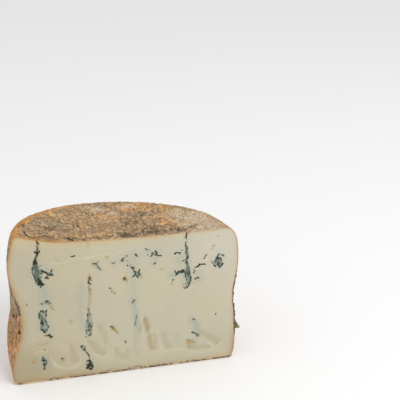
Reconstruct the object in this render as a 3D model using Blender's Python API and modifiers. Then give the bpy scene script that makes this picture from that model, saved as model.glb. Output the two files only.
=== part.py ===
"""Half of a small wheel of blue goat cheese, cut upright through its middle. Metres, +Z up.

The wheel is turned about its own axis. It is then pressed out of true, as a soft cheese is in its
mould, and cut in two. The half stands on its flat base with the cut face towards -Y, and its origin
lies on the base under the middle of its box. Azimuths run from the right end of the cut (0 degrees)
round the back (90) to the left end (180).
"""

import math

import bpy
from mathutils import Matrix, Vector, noise

# Driving dimensions
WHEEL_RADIUS = 0.086
HEIGHT = 0.111
CUT_BEHIND_AXIS = 0.0035  # the knife passed this far behind the middle, so the piece is just under half

# The turned profile, worked out from them
SHOULDER_WIDTH = 0.095 * WHEEL_RADIUS  # the rounded upper edge, an ellipse
SHOULDER_HEIGHT = 0.100 * HEIGHT
FOOT_WIDTH = 0.040 * WHEEL_RADIUS  # how far the lower edge draws in
FOOT_HEIGHT = 0.220 * HEIGHT
TOP_RINGS = 8
SHOULDER_STEPS = 5
SIDE_STEPS = 18
FOOT_STEPS = 5
TURN_STEPS = 176
MERGE = 0.00001

# How the side is out of true. AT is a height, SPREAD reaches up and down from it, and REACH is how
# far behind the cut a dent has run out.
CROWN_SWELL = 0.0013  # the side is fullest under the shoulder
CROWN_AT = 0.80 * HEIGHT
CROWN_SPREAD = 0.018
BELLY_LEFT = 0.0072  # and again near the foot, on the left
BELLY_AT = 0.25 * HEIGHT
BELLY_SPREAD = 0.032
FOOT_FILL_LEFT = 0.0016  # where the foot draws in less
WAIST_DEPTH = 0.0027  # the shallow hollow at the right end of the cut
WAIST_AT = 0.49 * HEIGHT
WAIST_SPREAD = 0.018
WAIST_REACH = 0.070
PINCH_DEPTH = 0.0135  # the deep one at the left end
PINCH_AT = 0.37 * HEIGHT
PINCH_SPREAD_DOWN = 0.027
PINCH_SPREAD_UP = 0.038
PINCH_REACH = 0.022
FLAP_LENGTH = 0.0062  # a scrap of crust that stands off the right edge of the cut
FLAP_AT = 0.24 * HEIGHT
FLAP_SPREAD = 0.0035

# The shoulder is worn flatter on the right of the back, and at the left end of the cut.
BEVEL_BACK = 0.0045
BEVEL_BACK_AT = 60.0  # azimuth
BEVEL_BACK_SPREAD = 40.0
BEVEL_END = 0.0035
BEVEL_REACH = 0.030
BEVEL_AT = 1.02 * HEIGHT
BEVEL_SPREAD = 0.012

# The top is dished: its rim stands above the middle, most on the left.
RIM_RISE_RIGHT = 0.0014
RIM_RISE_LEFT = 0.0103
RIM_RISE_FROM = 75.0  # azimuth where the left part starts to rise
RIM_INSET = 0.005
RIM_SLOPE = 0.022  # how fast the rise dies away inwards
RIM_ROOT = 0.016  # how far down the side the rise reaches

# Unevenness all over, except on the base
WOBBLE = 0.0007
WOBBLE_SIZE = 0.030

CUTTER_MARGIN = 0.02
SHARP_ANGLE = 40.0  # edges that turn by more than this aren't shaded smooth
RIND_COLOUR = (0.33, 0.19, 0.10, 1.0)
RIND_ROUGHNESS = 0.85
PASTE_COLOUR = (0.60, 0.53, 0.36, 1.0)
PASTE_ROUGHNESS = 0.55


def hump(value, centre, spread):
    """1 at the centre, dying away smoothly to both sides."""
    return math.exp(-(((value - centre) / spread) ** 2))


def ease(value):
    """0 below 0, 1 above 1, and smooth between."""
    value = min(max(value, 0.0), 1.0)
    return value * value * (3.0 - 2.0 * value)


def near_cut(behind_cut, reach):
    """1 at the cut, falling to 0 at a distance behind it."""
    return max(0.0, 1.0 - max(behind_cut, 0.0) / reach) ** 2


def turned_profile():
    """Points (radius, height) from the middle of the top, over the shoulder and down to the base."""
    shoulder_radius = WHEEL_RADIUS - SHOULDER_WIDTH
    shoulder_foot = HEIGHT - SHOULDER_HEIGHT
    points = [(shoulder_radius * ring / TOP_RINGS, HEIGHT) for ring in range(TOP_RINGS)]
    for step in range(SHOULDER_STEPS):
        angle = math.pi / 2 * step / SHOULDER_STEPS
        points.append((shoulder_radius + SHOULDER_WIDTH * math.sin(angle),
                       shoulder_foot + SHOULDER_HEIGHT * math.cos(angle)))
    for step in range(SIDE_STEPS):
        share = step / SIDE_STEPS
        points.append((WHEEL_RADIUS, shoulder_foot + (FOOT_HEIGHT - shoulder_foot) * share))
    for step in range(FOOT_STEPS + 1):
        share = step / FOOT_STEPS
        points.append((WHEEL_RADIUS - FOOT_WIDTH * share**2, FOOT_HEIGHT * (1.0 - share)))
    points.append((0.0, 0.0))
    return points


def turned_wheel():
    """The true wheel, as a mesh: the profile turned about the axis."""
    points = turned_profile()
    profile_mesh = bpy.data.meshes.new("wheel_profile")
    edges = [(i, i + 1) for i in range(len(points) - 1)]
    profile_mesh.from_pydata([(radius, 0.0, height) for radius, height in points], edges, [])
    profile = bpy.data.objects.new("wheel_profile", profile_mesh)
    # The profile starts half a step round, so that the cut falls between two columns.
    profile_mesh.transform(Matrix.Rotation(math.pi / TURN_STEPS, 4, "Z"))
    bpy.context.scene.collection.objects.link(profile)
    screw = profile.modifiers.new("turn", "SCREW")
    screw.angle = 2.0 * math.pi
    screw.steps = TURN_STEPS
    screw.render_steps = TURN_STEPS
    screw.use_merge_vertices = True
    screw.merge_threshold = MERGE
    bpy.context.view_layer.update()
    evaluated = profile.evaluated_get(bpy.context.evaluated_depsgraph_get())
    mesh = bpy.data.meshes.new_from_object(evaluated)
    mesh.name = "wheel"
    bpy.data.objects.remove(profile)
    return mesh


def side_offset(azimuth, height, behind_cut):
    """How far the side stands out of the true wheel, before the rim is raised."""
    leftness = (1.0 - math.cos(math.radians(azimuth))) / 2.0
    crown = CROWN_SWELL * hump(height, CROWN_AT, CROWN_SPREAD)
    belly = BELLY_LEFT * leftness * hump(height, BELLY_AT, BELLY_SPREAD)
    foot_fill = FOOT_FILL_LEFT * leftness * (1.0 - ease(height / FOOT_HEIGHT))
    if azimuth < 90.0:
        dent = WAIST_DEPTH * hump(height, WAIST_AT, WAIST_SPREAD) * near_cut(behind_cut, WAIST_REACH)
        dent -= FLAP_LENGTH * hump(height, FLAP_AT, FLAP_SPREAD) * hump(behind_cut, 0.0, FLAP_SPREAD)
    else:
        spread = PINCH_SPREAD_UP if height > PINCH_AT else PINCH_SPREAD_DOWN
        dent = PINCH_DEPTH * hump(height, PINCH_AT, spread) * near_cut(behind_cut, PINCH_REACH)
    return crown + belly + foot_fill - dent


def bevel_depth(azimuth, height, behind_cut):
    """How far the shoulder is flattened."""
    depth = BEVEL_BACK * hump(azimuth, BEVEL_BACK_AT, BEVEL_BACK_SPREAD)
    if azimuth > 90.0:
        depth += BEVEL_END * near_cut(behind_cut, BEVEL_REACH)
    return depth * hump(height, BEVEL_AT, BEVEL_SPREAD)


def rim_rise(azimuth, inset, height):
    """How far a point is lifted by the raised rim. inset is its distance in from the true side."""
    turned = ease((azimuth - RIM_RISE_FROM) / (180.0 - RIM_RISE_FROM))
    rise = RIM_RISE_RIGHT + (RIM_RISE_LEFT - RIM_RISE_RIGHT) * turned
    rise *= math.exp(-max(inset - RIM_INSET, 0.0) / RIM_SLOPE)
    return rise * ease((height - HEIGHT + RIM_ROOT) / RIM_ROOT)


def pressed(point):
    """Where a point of the true wheel lies on the cheese."""
    radius = math.hypot(point.x, point.y)
    if radius < MERGE:
        return point
    azimuth = math.degrees(math.acos(max(-1.0, min(1.0, point.x / radius))))
    behind_cut = point.y - CUT_BEHIND_AXIS
    outward = Vector((point.x / radius, point.y / radius, 0.0))
    lifted = point.z + rim_rise(azimuth, WHEEL_RADIUS - radius, point.z)
    offset = side_offset(azimuth, point.z, behind_cut) - bevel_depth(azimuth, lifted, behind_cut)
    wobble = WOBBLE * noise.noise(point / WOBBLE_SIZE) * ease(point.z / FOOT_HEIGHT)
    sideness = ease(2.0 * radius / WHEEL_RADIUS - 1.0)
    moved = outward * (radius + sideness * (offset + wobble))
    moved.z = lifted + (1.0 - sideness) * wobble
    return moved


def named_material(name, colour, roughness):
    material = bpy.data.materials.new(name)
    material.use_nodes = True
    shader = material.node_tree.nodes["Principled BSDF"]
    shader.inputs["Base Color"].default_value = colour
    shader.inputs["Roughness"].default_value = roughness
    shader.inputs["Metallic"].default_value = 0.0
    return material


def cheese_box(mesh):
    """The corners of the half that is kept."""
    kept = [vertex.co for vertex in mesh.vertices if vertex.co.y > CUT_BEHIND_AXIS]
    low = Vector([min(co[i] for co in kept) for i in range(3)])
    high = Vector([max(co[i] for co in kept) for i in range(3)])
    low.y = CUT_BEHIND_AXIS
    return low, high


def cut_box(name, low, high, place, collection, material):
    """A box over the half of the wheel that is cut off, with its back in the plane of the cut."""
    reach = max(high.x, -low.x) + CUTTER_MARGIN
    bpy.ops.mesh.primitive_cube_add(size=1.0)
    box = bpy.context.object
    box.name = name
    tall = high.z + 2.0 * CUTTER_MARGIN
    for vertex in box.data.vertices:
        vertex.co.x *= 2.0 * reach
        vertex.co.y = (vertex.co.y - 0.5) * reach + low.y
        vertex.co.z = (vertex.co.z + 0.5) * tall - CUTTER_MARGIN
    box.data.materials.append(material)
    box.location = place
    box.hide_render = True
    box.display_type = "WIRE"
    for other in list(box.users_collection):
        other.objects.unlink(box)
    collection.objects.link(box)
    return box


def cheese_half():
    """The half wheel, with rind all round and paste on the cut face."""
    parts = bpy.data.collections.new("blue_goat_cheese")
    cutters = bpy.data.collections.new("cutters")
    for collection in (parts, cutters):
        bpy.context.scene.collection.children.link(collection)

    rind = named_material("rind", RIND_COLOUR, RIND_ROUGHNESS)
    paste = named_material("paste", PASTE_COLOUR, PASTE_ROUGHNESS)

    mesh = turned_wheel()
    for vertex in mesh.vertices:
        vertex.co = pressed(vertex.co)
    mesh.materials.append(rind)
    mesh.materials.append(paste)
    mesh.shade_smooth()
    mesh.set_sharp_from_angle(angle=math.radians(SHARP_ANGLE))

    low, high = cheese_box(mesh)
    place = Vector((-(low.x + high.x) / 2.0, -(low.y + high.y) / 2.0, 0.0))
    half = bpy.data.objects.new("cheese_half", mesh)
    half.location = place
    parts.objects.link(half)

    cut = half.modifiers.new("cut", "BOOLEAN")
    cut.operation = "DIFFERENCE"
    cut.solver = "EXACT"
    cut.material_mode = "TRANSFER"
    cut.object = cut_box("cut_box", low, high, place, cutters, paste)


for existing in list(bpy.data.objects):
    bpy.data.objects.remove(existing)

cheese_half()
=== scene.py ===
"""The looks of half a small wheel of blue goat cheese: its rind, its cut face and the light on them.

Everything is in metres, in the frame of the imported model: +Z up, the cut face towards -Y. Lengths
that read better in millimetres are written as a number times MM. A skin point is named by an angle
(0 at the right end of the cut, pi at the left end) and by a way along the profile, from the middle
of the top outwards, down the side and back in under the base.
"""

import math

import bpy
import numpy as np
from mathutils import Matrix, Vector
from mathutils.bvhtree import BVHTree
from mathutils.kdtree import KDTree


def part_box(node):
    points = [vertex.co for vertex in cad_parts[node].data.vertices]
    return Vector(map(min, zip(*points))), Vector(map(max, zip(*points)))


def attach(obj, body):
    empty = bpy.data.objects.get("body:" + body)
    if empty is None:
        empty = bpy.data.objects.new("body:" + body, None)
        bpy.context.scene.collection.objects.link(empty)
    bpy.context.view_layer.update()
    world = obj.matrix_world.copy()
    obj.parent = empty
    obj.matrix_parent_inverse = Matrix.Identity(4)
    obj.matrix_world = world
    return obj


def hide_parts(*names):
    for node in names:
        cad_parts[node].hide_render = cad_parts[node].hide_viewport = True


MM = 0.001
TINY = 1e-15
NODE = "cheese_half"

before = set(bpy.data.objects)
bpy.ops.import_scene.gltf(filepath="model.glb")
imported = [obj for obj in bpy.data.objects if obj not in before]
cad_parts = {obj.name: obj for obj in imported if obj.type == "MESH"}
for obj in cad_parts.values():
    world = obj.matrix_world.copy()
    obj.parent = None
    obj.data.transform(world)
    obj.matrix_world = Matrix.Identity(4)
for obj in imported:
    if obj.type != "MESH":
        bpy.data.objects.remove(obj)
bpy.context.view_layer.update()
low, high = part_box(NODE)
CUT_Y = low.y

# ---- the skin of the cheese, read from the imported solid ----

LOOK_IN = 0.2 * MM  # rays start this far behind the cut
WALL_AT = 0.80 * high.z  # where the wall's distance is read
CORNER_IN = 9.0 * MM  # the shoulder is read from a point this far inside the wall
CORNER_DOWN = 11.0 * MM  # and this far below the top
UNDER_TOP = 60.0 * MM  # rays up to the top start at this height
FOOT_ROUND = 2.0 * MM  # the worn lower edge
TABLE_STEP = 0.8 * MM  # between two rows of the tables
COLUMNS = 360
SMOOTH_ROUND = 2.0  # columns
SMOOTH_DOWN = 2.0  # rows
SMOOTH_TOP = 6.0  # rows, on the flat of the top
FLAT_END, FLAT_FADE = 14 * MM, 8 * MM  # how far before the shoulder the flat ends, and over what length
WALL_START = 3 * MM  # the distance out is smoothed from this far before the shoulder
UPRIGHT = 3 * MM  # this close to the middle of the top, the skin faces straight up

# The lengths of the profile's parts, and the way at which each starts.
TOP_LENGTH = high.x - CORNER_IN
SHOULDER_LENGTH = 15.6 * MM
SIDE_LENGTH = high.z - CORNER_DOWN - FOOT_ROUND
FOOT_LENGTH = FOOT_ROUND * math.pi / 2.0
Q_SHOULDER = TOP_LENGTH
Q_SIDE = Q_SHOULDER + SHOULDER_LENGTH
Q_FOOT = Q_SIDE + SIDE_LENGTH
Q_BASE = Q_FOOT + FOOT_LENGTH
Q_END = Q_BASE + TOP_LENGTH

# The scrap of crust on the right edge of the cut is a piece of its own, so the skin is read past it.
SCRAP_LOW, SCRAP_HIGH = 14.0 * MM, 39.0 * MM
SCRAP_TURN = math.radians(8.0)


def cast(tree, origin, direction):
    """Where a ray from inside the solid leaves it."""
    point = tree.ray_cast(Vector(origin), Vector(direction))[0]
    if point is None:
        raise ValueError(f"no surface seen from {origin} towards {direction}")
    return point


def blurred(table, spread, axis):
    """The table smoothed along one axis, with its first and last values kept."""
    reach = int(math.ceil(3 * spread))
    offsets = np.arange(-reach, reach + 1)
    weights = np.exp(-0.5 * (offsets / spread) ** 2)
    weights /= weights.sum()
    widths = [(0, 0)] * table.ndim
    widths[axis] = (reach, reach)
    padded = np.pad(table, widths, mode="reflect", reflect_type="odd")
    length = table.shape[axis]
    return sum(w * np.take(padded, np.arange(k, k + length), axis) for k, w in enumerate(weights))


def read_skin(node):
    """The ways of the rows, and two tables of columns by rows: distance out and height."""
    mesh = node.data
    corners = [v.co.copy() for v in mesh.vertices]
    tree = BVHTree.FromPolygons(corners, [tuple(p.vertices) for p in mesh.polygons])
    inside_y = CUT_Y + LOOK_IN
    rows_top = np.linspace(0.0, 1.0, int(TOP_LENGTH / TABLE_STEP), endpoint=False)
    rows_shoulder = np.linspace(0.0, 1.0, int(SHOULDER_LENGTH / TABLE_STEP), endpoint=False)
    rows_side = np.linspace(0.0, 1.0, int(SIDE_LENGTH / TABLE_STEP) + 1)
    ways = np.concatenate([rows_top * TOP_LENGTH,
                           Q_SHOULDER + rows_shoulder * SHOULDER_LENGTH,
                           Q_SIDE + rows_side * SIDE_LENGTH])
    out, up = [], []
    for turn in np.linspace(0.0, math.pi, COLUMNS + 1):
        c, s = math.cos(turn), math.sin(turn)
        wall = cast(tree, (0, inside_y, WALL_AT), (c, s, 0))
        corner = math.hypot(wall.x, wall.y - inside_y) - CORNER_IN
        lid = cast(tree, (corner * c, inside_y + corner * s, UNDER_TOP), (0, 0, 1)).z
        radii, heights = [], []
        for share in rows_top:
            radius = corner * share
            hit = cast(tree, (radius * c, inside_y + radius * s, UNDER_TOP), (0, 0, 1))
            radii.append(radius)
            heights.append(hit.z)
        for share in rows_shoulder:
            tilt = math.pi / 2.0 * (1.0 - share)
            start = (corner * c, inside_y + corner * s, lid - CORNER_DOWN)
            hit = cast(tree, start, (c * math.cos(tilt), s * math.cos(tilt), math.sin(tilt)))
            radii.append(math.hypot(hit.x, hit.y - inside_y))
            heights.append(hit.z)
        for share in rows_side:
            height = (lid - CORNER_DOWN) * (1.0 - share) + FOOT_ROUND * share
            hit = cast(tree, (0, inside_y, height), (c, s, 0))
            radii.append(math.hypot(hit.x, hit.y - inside_y))
            heights.append(height)
        radii, heights = np.array(radii), np.array(heights)
        if turn < SCRAP_TURN:
            side = ways >= Q_SIDE
            plain = side & ((heights < SCRAP_LOW) | (heights > SCRAP_HIGH))
            radii[side] = np.interp(heights[side], heights[plain][::-1], radii[plain][::-1])
        out.append(radii)
        up.append(heights)
    out, up = (blurred(np.array(table), SMOOTH_ROUND, 0) for table in (out, up))
    fine = np.clip((ways - (Q_SHOULDER - FLAT_END)) / FLAT_FADE, 0, 1)
    up = blurred(up, SMOOTH_TOP, 1) * (1 - fine) + blurred(up, SMOOTH_DOWN, 1) * fine
    walled = np.clip((ways - (Q_SHOULDER - WALL_START)) / WALL_START, 0, 1)
    return ways, out * (1 - walled) + blurred(out, SMOOTH_DOWN, 1) * walled, up


row_ways, skin_out, skin_up = read_skin(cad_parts[NODE])


def looked_up(table, turn, way):
    """The table's value between its columns and rows."""
    column = np.clip(turn / math.pi * COLUMNS, 0, COLUMNS - 1e-6)
    row = np.clip(np.interp(way, row_ways, np.arange(len(row_ways))), 0, len(row_ways) - 1 - 1e-6)
    i, j = column.astype(int), row.astype(int)
    u, v = column - i, row - j
    near = table[i, j] * (1 - u) + table[i + 1, j] * u
    far = table[i, j + 1] * (1 - u) + table[i + 1, j + 1] * u
    return near * (1 - v) + far * v


def profile(turn, way):
    """(distance out, height) of skin points."""
    out, up = looked_up(skin_out, turn, way), looked_up(skin_up, turn, way)
    beyond = np.clip(way - Q_FOOT, 0, None)
    bend = np.clip(beyond / FOOT_ROUND, 0, math.pi / 2)
    inner = looked_up(skin_out, turn, np.full_like(way, Q_FOOT)) - FOOT_ROUND
    out = np.where(beyond > 0, inner + FOOT_ROUND * np.cos(bend), out)
    up = np.where(beyond > 0, FOOT_ROUND * (1 - np.sin(bend)), up)
    along = np.clip((way - Q_BASE) / (Q_END - Q_BASE), 0, 1)
    return np.where(way > Q_BASE, inner * (1 - along), out), up


def skin(turn, way):
    """Skin points, n by 3."""
    turn, way = np.broadcast_arrays(np.asarray(turn, float), np.asarray(way, float))
    out, up = profile(turn, way)
    return np.stack([out * np.cos(turn), CUT_Y + out * np.sin(turn), up], -1)


def unit(vectors):
    """The vectors with their length made 1."""
    return vectors / np.maximum(np.linalg.norm(vectors, axis=-1, keepdims=True), TINY)


def skin_normal(turn, way):
    """Unit vectors that point out of the skin."""
    step_turn, step_way = math.radians(0.8), 1.2 * MM

    def moved(by_turn, by_way):
        return skin(np.clip(turn + by_turn, 0, math.pi), np.clip(way + by_way, 0, Q_END))

    down = moved(0, step_way) - moved(0, -step_way)
    normal = np.cross(down, moved(step_turn, 0) - moved(-step_turn, 0))
    normal[way < UPRIGHT] = (0, 0, 1)
    normal[way > Q_BASE] = (0, 0, -1)
    return unit(normal)


def outline(side, way):
    """Points (x, z) of the cut's outline and unit vectors in from it. side is 1 for right, -1 for left."""
    turn = np.where(np.asarray(side) > 0, 0.0, math.pi) + 0.0 * way
    step = 0.8 * MM
    ahead, behind = (profile(turn, np.clip(way + by, 0, Q_END)) for by in (step, -step))
    out, up = profile(turn, way)
    tangent = unit(np.stack([ahead[0] - behind[0], ahead[1] - behind[1]], -1))
    return np.stack([out * side, up], -1), np.stack([tangent[..., 1] * side, -tangent[..., 0]], -1)


# ---- noise, for relief and for large patches of colour ----

PRIMES = np.array([374761393, 668265263, 2246822519, 3266489917], np.uint32)  # they mix the numbers well
SEED_MIX, SEED_START = 3266489, 97
SEED_SHIFT = 0.37  # each seed's lattice lies this many cells further along
OCTAVE_SEED, OCTAVE_FADE = 31, 0.6  # from one size of lumps to the next
LUMPS_GAIN = 1.4  # so that lumps come near to -1 and 1


def lattice(i, seed):
    """Numbers from -1 to 1 at whole-numbered points, the same on each run."""
    n = i.astype(np.int64).astype(np.uint32)
    h = n[:, 0] * PRIMES[0] + n[:, 1] * PRIMES[1] + n[:, 2] * PRIMES[2]
    h = h + np.uint32(seed * SEED_MIX + SEED_START)
    for shift, prime in ((15, PRIMES[2]), (13, PRIMES[3])):
        h = (h ^ (h >> np.uint32(shift))) * prime
    return ((h ^ (h >> np.uint32(16))) & np.uint32(0xFFFF)).astype(float) / (0xFFFF / 2) - 1.0


def noise(points, size, seed, stretch=(1.0, 1.0, 1.0)):
    """Smooth noise from -1 to 1 at n points. size is how far apart its lumps are."""
    spot = points / (size * np.array(stretch)) + SEED_SHIFT * seed
    whole = np.floor(spot)
    share = spot - whole
    share = share**3 * (share * (share * 6.0 - 15.0) + 10.0)
    total = np.zeros(len(points))
    for corner in np.ndindex(2, 2, 2):
        weight = np.prod(np.where(np.array(corner) == 1, share, 1.0 - share), axis=1)
        total += weight * lattice(whole + np.array(corner), seed)
    return total


def lumps(points, size, seed, octaves=3, stretch=(1.0, 1.0, 1.0)):
    """Noise of several sizes, each half the last one's size and weaker than it."""
    fades = [OCTAVE_FADE**k for k in range(octaves)]
    parts = [noise(points, size / 2**k, seed + OCTAVE_SEED * k, stretch) * fades[k] for k in range(octaves)]
    return sum(parts) / sum(fades) * LUMPS_GAIN


def high_lumps(*args):
    """Lumps from about 0 to 1."""
    return 0.5 + 0.5 * lumps(*args)


def smooth(value, start, end):
    """0 at start, 1 at end, and smooth between."""
    share = np.clip((value - start) / (end - start), 0.0, 1.0)
    return share * share * (3.0 - 2.0 * share)


# ---- closed pieces from grids ----

# The bake's layout is a square. What shows fills it up to the first line, and the rest is hidden.
BAKE_SHOWN, BAKE_JOIN, BAKE_BACK = 0.97, 0.98, 0.99


def add_piece(name, mesh, fields, material):
    """Puts a mesh in the scene as a piece of the cheese. A field is 0 on the points past its values."""
    for field, values in fields.items():
        padded = np.zeros(len(mesh.vertices), np.float32)
        padded[: values.size] = values.ravel()
        mesh.attributes.new(field, "FLOAT", "POINT").data.foreach_set("value", padded)
    mesh.materials.append(material)
    piece = bpy.data.objects.new(name, mesh)
    bpy.context.scene.collection.objects.link(piece)
    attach(piece, "root")
    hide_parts(NODE)


def numbered(shape, first=0):
    """The numbers of a grid's points."""
    return first + np.arange(shape[0] * shape[1]).reshape(shape[:2])


def border(grid):
    """The border values of a grid in order round it."""
    return np.concatenate([grid[:-1, 0], grid[-1, :-1], grid[:0:-1, -1], grid[0, :0:-1]]).tolist()


def quads(index):
    """The four corners of each cell of a grid."""
    return np.stack([index[:-1, :-1], index[1:, :-1], index[1:, 1:], index[:-1, 1:]], -1).reshape(-1, 4)


def sheet(shape, start, end):
    """Layout points of a grid, from one side of the square to the other and from start to end across."""
    u, v = np.meshgrid(np.linspace(0, 1, shape[0]), np.linspace(start, end, shape[1]), indexing="ij")
    return np.stack([u.ravel(), v.ravel()], -1)


def closed_piece(name, front, back, steps, flip, fields, material, normals=None):
    """A closed piece: a fine front grid, a coarse back grid behind it, and strips that join their borders.

    Point (i, j) of the back lies behind point (i * steps[0], j * steps[1]) of the front."""
    at = numbered(front.shape)
    at_back = numbered(back.shape, at.size)
    fine, coarse = border(at), border(at_back)
    pace = ([steps[0]] * (back.shape[0] - 1) + [steps[1]] * (back.shape[1] - 1)) * 2
    strips = []
    first = 0
    for k, step in enumerate(pace):
        here, there = coarse[k], coarse[(k + 1) % len(coarse)]
        run = [fine[(first + m) % len(fine)] for m in range(step + 1)]
        half = step // 2
        strips += [(run[m + 1], run[m], here) for m in range(half)]
        strips.append((here, there, run[half]))
        strips += [(run[m + 1], run[m], there) for m in range(half, step)]
        first += step
    front_faces, back_faces = quads(at), quads(at_back)[:, ::-1]
    if flip:
        front_faces, back_faces = front_faces[:, ::-1], back_faces[:, ::-1]
        strips = [face[::-1] for face in strips]

    mesh = bpy.data.meshes.new(name)
    points = np.concatenate([front.reshape(-1, 3), back.reshape(-1, 3)])
    mesh.from_pydata(points.tolist(), [], front_faces.tolist() + back_faces.tolist() + strips)
    mesh.shade_smooth()

    shown = sheet(front.shape, 0, BAKE_SHOWN)
    joined = np.stack([shown[:, 0], np.full(at.size, BAKE_JOIN)], -1)
    hidden = np.concatenate([joined, sheet(back.shape, BAKE_BACK, 1)])
    corner = np.zeros(len(mesh.loops), np.int32)
    mesh.loops.foreach_get("vertex_index", corner)
    layout = hidden[corner]
    layout[: 4 * len(front_faces)] = shown[corner[: 4 * len(front_faces)]]
    mesh.uv_layers.new(name="OFBake").data.foreach_set("uv", layout.astype(np.float32).ravel())
    if normals is not None:
        every = np.array([v.normal for v in mesh.vertices])
        every[: at.size] = normals.reshape(-1, 3)
        mesh.normals_split_custom_set_from_vertices(every.tolist())
    add_piece(name, mesh, fields, material)


def grid_normals(grid, flip):
    """Unit normals of a grid of points."""
    normal = unit(np.cross(np.gradient(grid, axis=0), np.gradient(grid, axis=1)))
    return -normal if flip else normal


# ---- the rind ----

DISC_COLUMNS, DISC_ROWS = 300, 150  # the top and the base
SIDE_ROWS = 150
RIM_SHARES = (1.0, 0.7, 0.35)  # of the crust's thickness, where it shows at the cut
RIM_ROWS = len(RIM_SHARES) + 1
RIM_BACK = 1.5 * MM  # how far behind the cut the crust's inner edge ends
RIM_TUCK = 0.2 * MM  # and how far under the paste it goes
RIM_LEAST = 0.3 * MM  # the least of the crust that shows at the cut
RIM_ROUGH = 0.16 * MM
NEAR_CUT = 0.02 * MM  # the crust's edge and the paste lie at least this far behind the cut
RIND_THICK = 2.6 * MM
BACK_CLEAR = 0.3 * MM  # the hidden back of the rind keeps off the base and the rim by this much
BACK_EDGE = 0.8 * MM  # and starts this far behind the rim
CRUST = 0.45 * MM
CRUST_AT_BASE = 0.35 * MM  # thicker there by this much
EDGE_CALM = 7.0 * MM  # the rind is smoother this close to the cut
RIND_SWELL = 0.22 * MM
RIND_GRAIN = 0.55 * MM
RIND_PITS = 0.60 * MM
BASE_SHARE = 0.5  # of that relief, under the base
BACK_LIFT = 1.2 * MM  # the crust is this much thicker along the back edge of the top
SIDE_LIFT = 1.4 * MM  # and where it is crumbly, on the right
GRAIN_SIZE = 2.6 * MM
STRETCH_TOP = (1.0, 1.3, 1.0)
STRETCH_SIDE = (1.0, 1.0, 2.2)


def sideness(way):
    """0 on the top and 1 on the side."""
    return smooth(way, Q_SHOULDER + 0.3 * SHOULDER_LENGTH, Q_SIDE + 6 * MM)


def rind_lift(points, way):
    """How much thicker the crust is than the solid in places."""
    behind = points[:, 1] - CUT_Y
    back = smooth(behind, 12 * MM, 40 * MM)
    edge = smooth(np.abs(way - Q_SHOULDER), 20 * MM, 5 * MM)
    # The right edge is crumbly close behind the cut, up to the shoulder.
    crumbly = smooth(points[:, 0], 74 * MM, 82 * MM) * smooth(points[:, 2], 14 * MM, 22 * MM)
    crumbly *= (smooth(points[:, 2], 82 * MM, 72 * MM) * smooth(behind, 0.3 * MM, 1.4 * MM)
                * smooth(behind, 14 * MM, 5 * MM))
    return BACK_LIFT * back * edge + SIDE_LIFT * crumbly * (0.7 + 0.6 * lumps(points, 2.2 * MM, 27, 2))


def rind_depth(points, way):
    """How far the rind lies below the solid's skin, or above it where the crust is thicker."""
    side = sideness(way)
    grain_top = high_lumps(points, GRAIN_SIZE, 5, 3, STRETCH_TOP)
    grain_side = high_lumps(points, GRAIN_SIZE, 7, 3, STRETCH_SIDE)
    grain = grain_top * (1 - side) + grain_side * side
    # Pits lie in groups.
    pits = smooth(noise(points, 3.4 * MM, 11), 0.35, 0.75) * smooth(noise(points, 14 * MM, 12), -0.3, 0.4)
    depth = RIND_SWELL * high_lumps(points, 11 * MM, 3) + RIND_GRAIN * grain + RIND_PITS * pits
    calm = 0.2 + 0.8 * smooth(points[:, 1] - CUT_Y, 0.5 * MM, EDGE_CALM)
    # The crust stays rough at the cut on the lower right and along the base.
    rough_side = smooth(points[:, 0], 70 * MM, 84 * MM) * smooth(points[:, 2], 78 * MM, 68 * MM)
    rough_base = smooth(points[:, 2], 6 * MM, 2 * MM)
    return depth * np.maximum(calm, 0.45 * np.maximum(rough_side, rough_base)) - rind_lift(points, way)


def crust_width(points):
    """How thick the crust is where it shows at the cut, at points on the outline."""
    ragged = lumps(points, 3.0 * MM, 21, 3)
    at_base = smooth(points[:, 2], 6 * MM, 1 * MM)
    return CRUST * (1 + 0.22 * ragged) + CRUST_AT_BASE * at_base * (0.7 + 0.9 * lumps(points, 4 * MM, 23, 3))


def rind_points(turn, way):
    """Points on the rind with its relief, and how deep each lies."""
    plain = skin(turn, way)
    depth = rind_depth(plain.reshape(-1, 3), way.ravel()).reshape(way.shape)
    depth = np.where(way > Q_BASE, BASE_SHARE * depth, depth)
    points = plain - skin_normal(turn, way) * depth[..., None]
    points[..., 1] = np.maximum(points[..., 1], CUT_Y)
    points[..., 2] = np.maximum(points[..., 2], 0.0)
    return points, depth


def rim_points(side, way, depth):
    """The crust's edge at the cut: RIM_ROWS points for each way, from its hidden inner edge outwards."""
    edge, inward = outline(side, way)
    edge3 = np.stack([edge[..., 0], np.full(len(edge), CUT_Y), edge[..., 1]], -1)
    width = np.maximum(crust_width(edge3), depth + RIM_LEAST)
    rows = []
    for share, tuck in [(1.0, RIM_TUCK)] + [(share, 0.0) for share in RIM_SHARES]:
        x, z = (edge + inward * (depth + (width - depth) * share + tuck)[:, None]).T
        rough = RIM_ROUGH * (1 + lumps(np.stack([x, 0 * x, z], -1), 1.6 * MM, 25, 2))
        back = np.full(len(edge), RIM_BACK) if tuck else np.maximum(rough, NEAR_CUT)
        rows.append(np.stack([x, CUT_Y + back, np.maximum(z, 0.0)], -1))
    return rows


def disc_grid(way_rim, way_middle):
    """Turns and ways of a half disc's points: way_middle at its middle, way_rim round its rim."""
    s, t = np.meshgrid(np.linspace(-1, 1, DISC_COLUMNS + 1), np.linspace(0, 1, DISC_ROWS + 1), indexing="ij")
    x, y = s * np.sqrt(1 - t**2 / 2), t * np.sqrt(1 - s**2 / 2)
    share = np.clip(np.hypot(x, y), 0, 1)
    share[0], share[-1], share[:, -1] = 1.0, 1.0, 1.0
    return np.arctan2(y, x), way_middle + (way_rim - way_middle) * share


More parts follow.
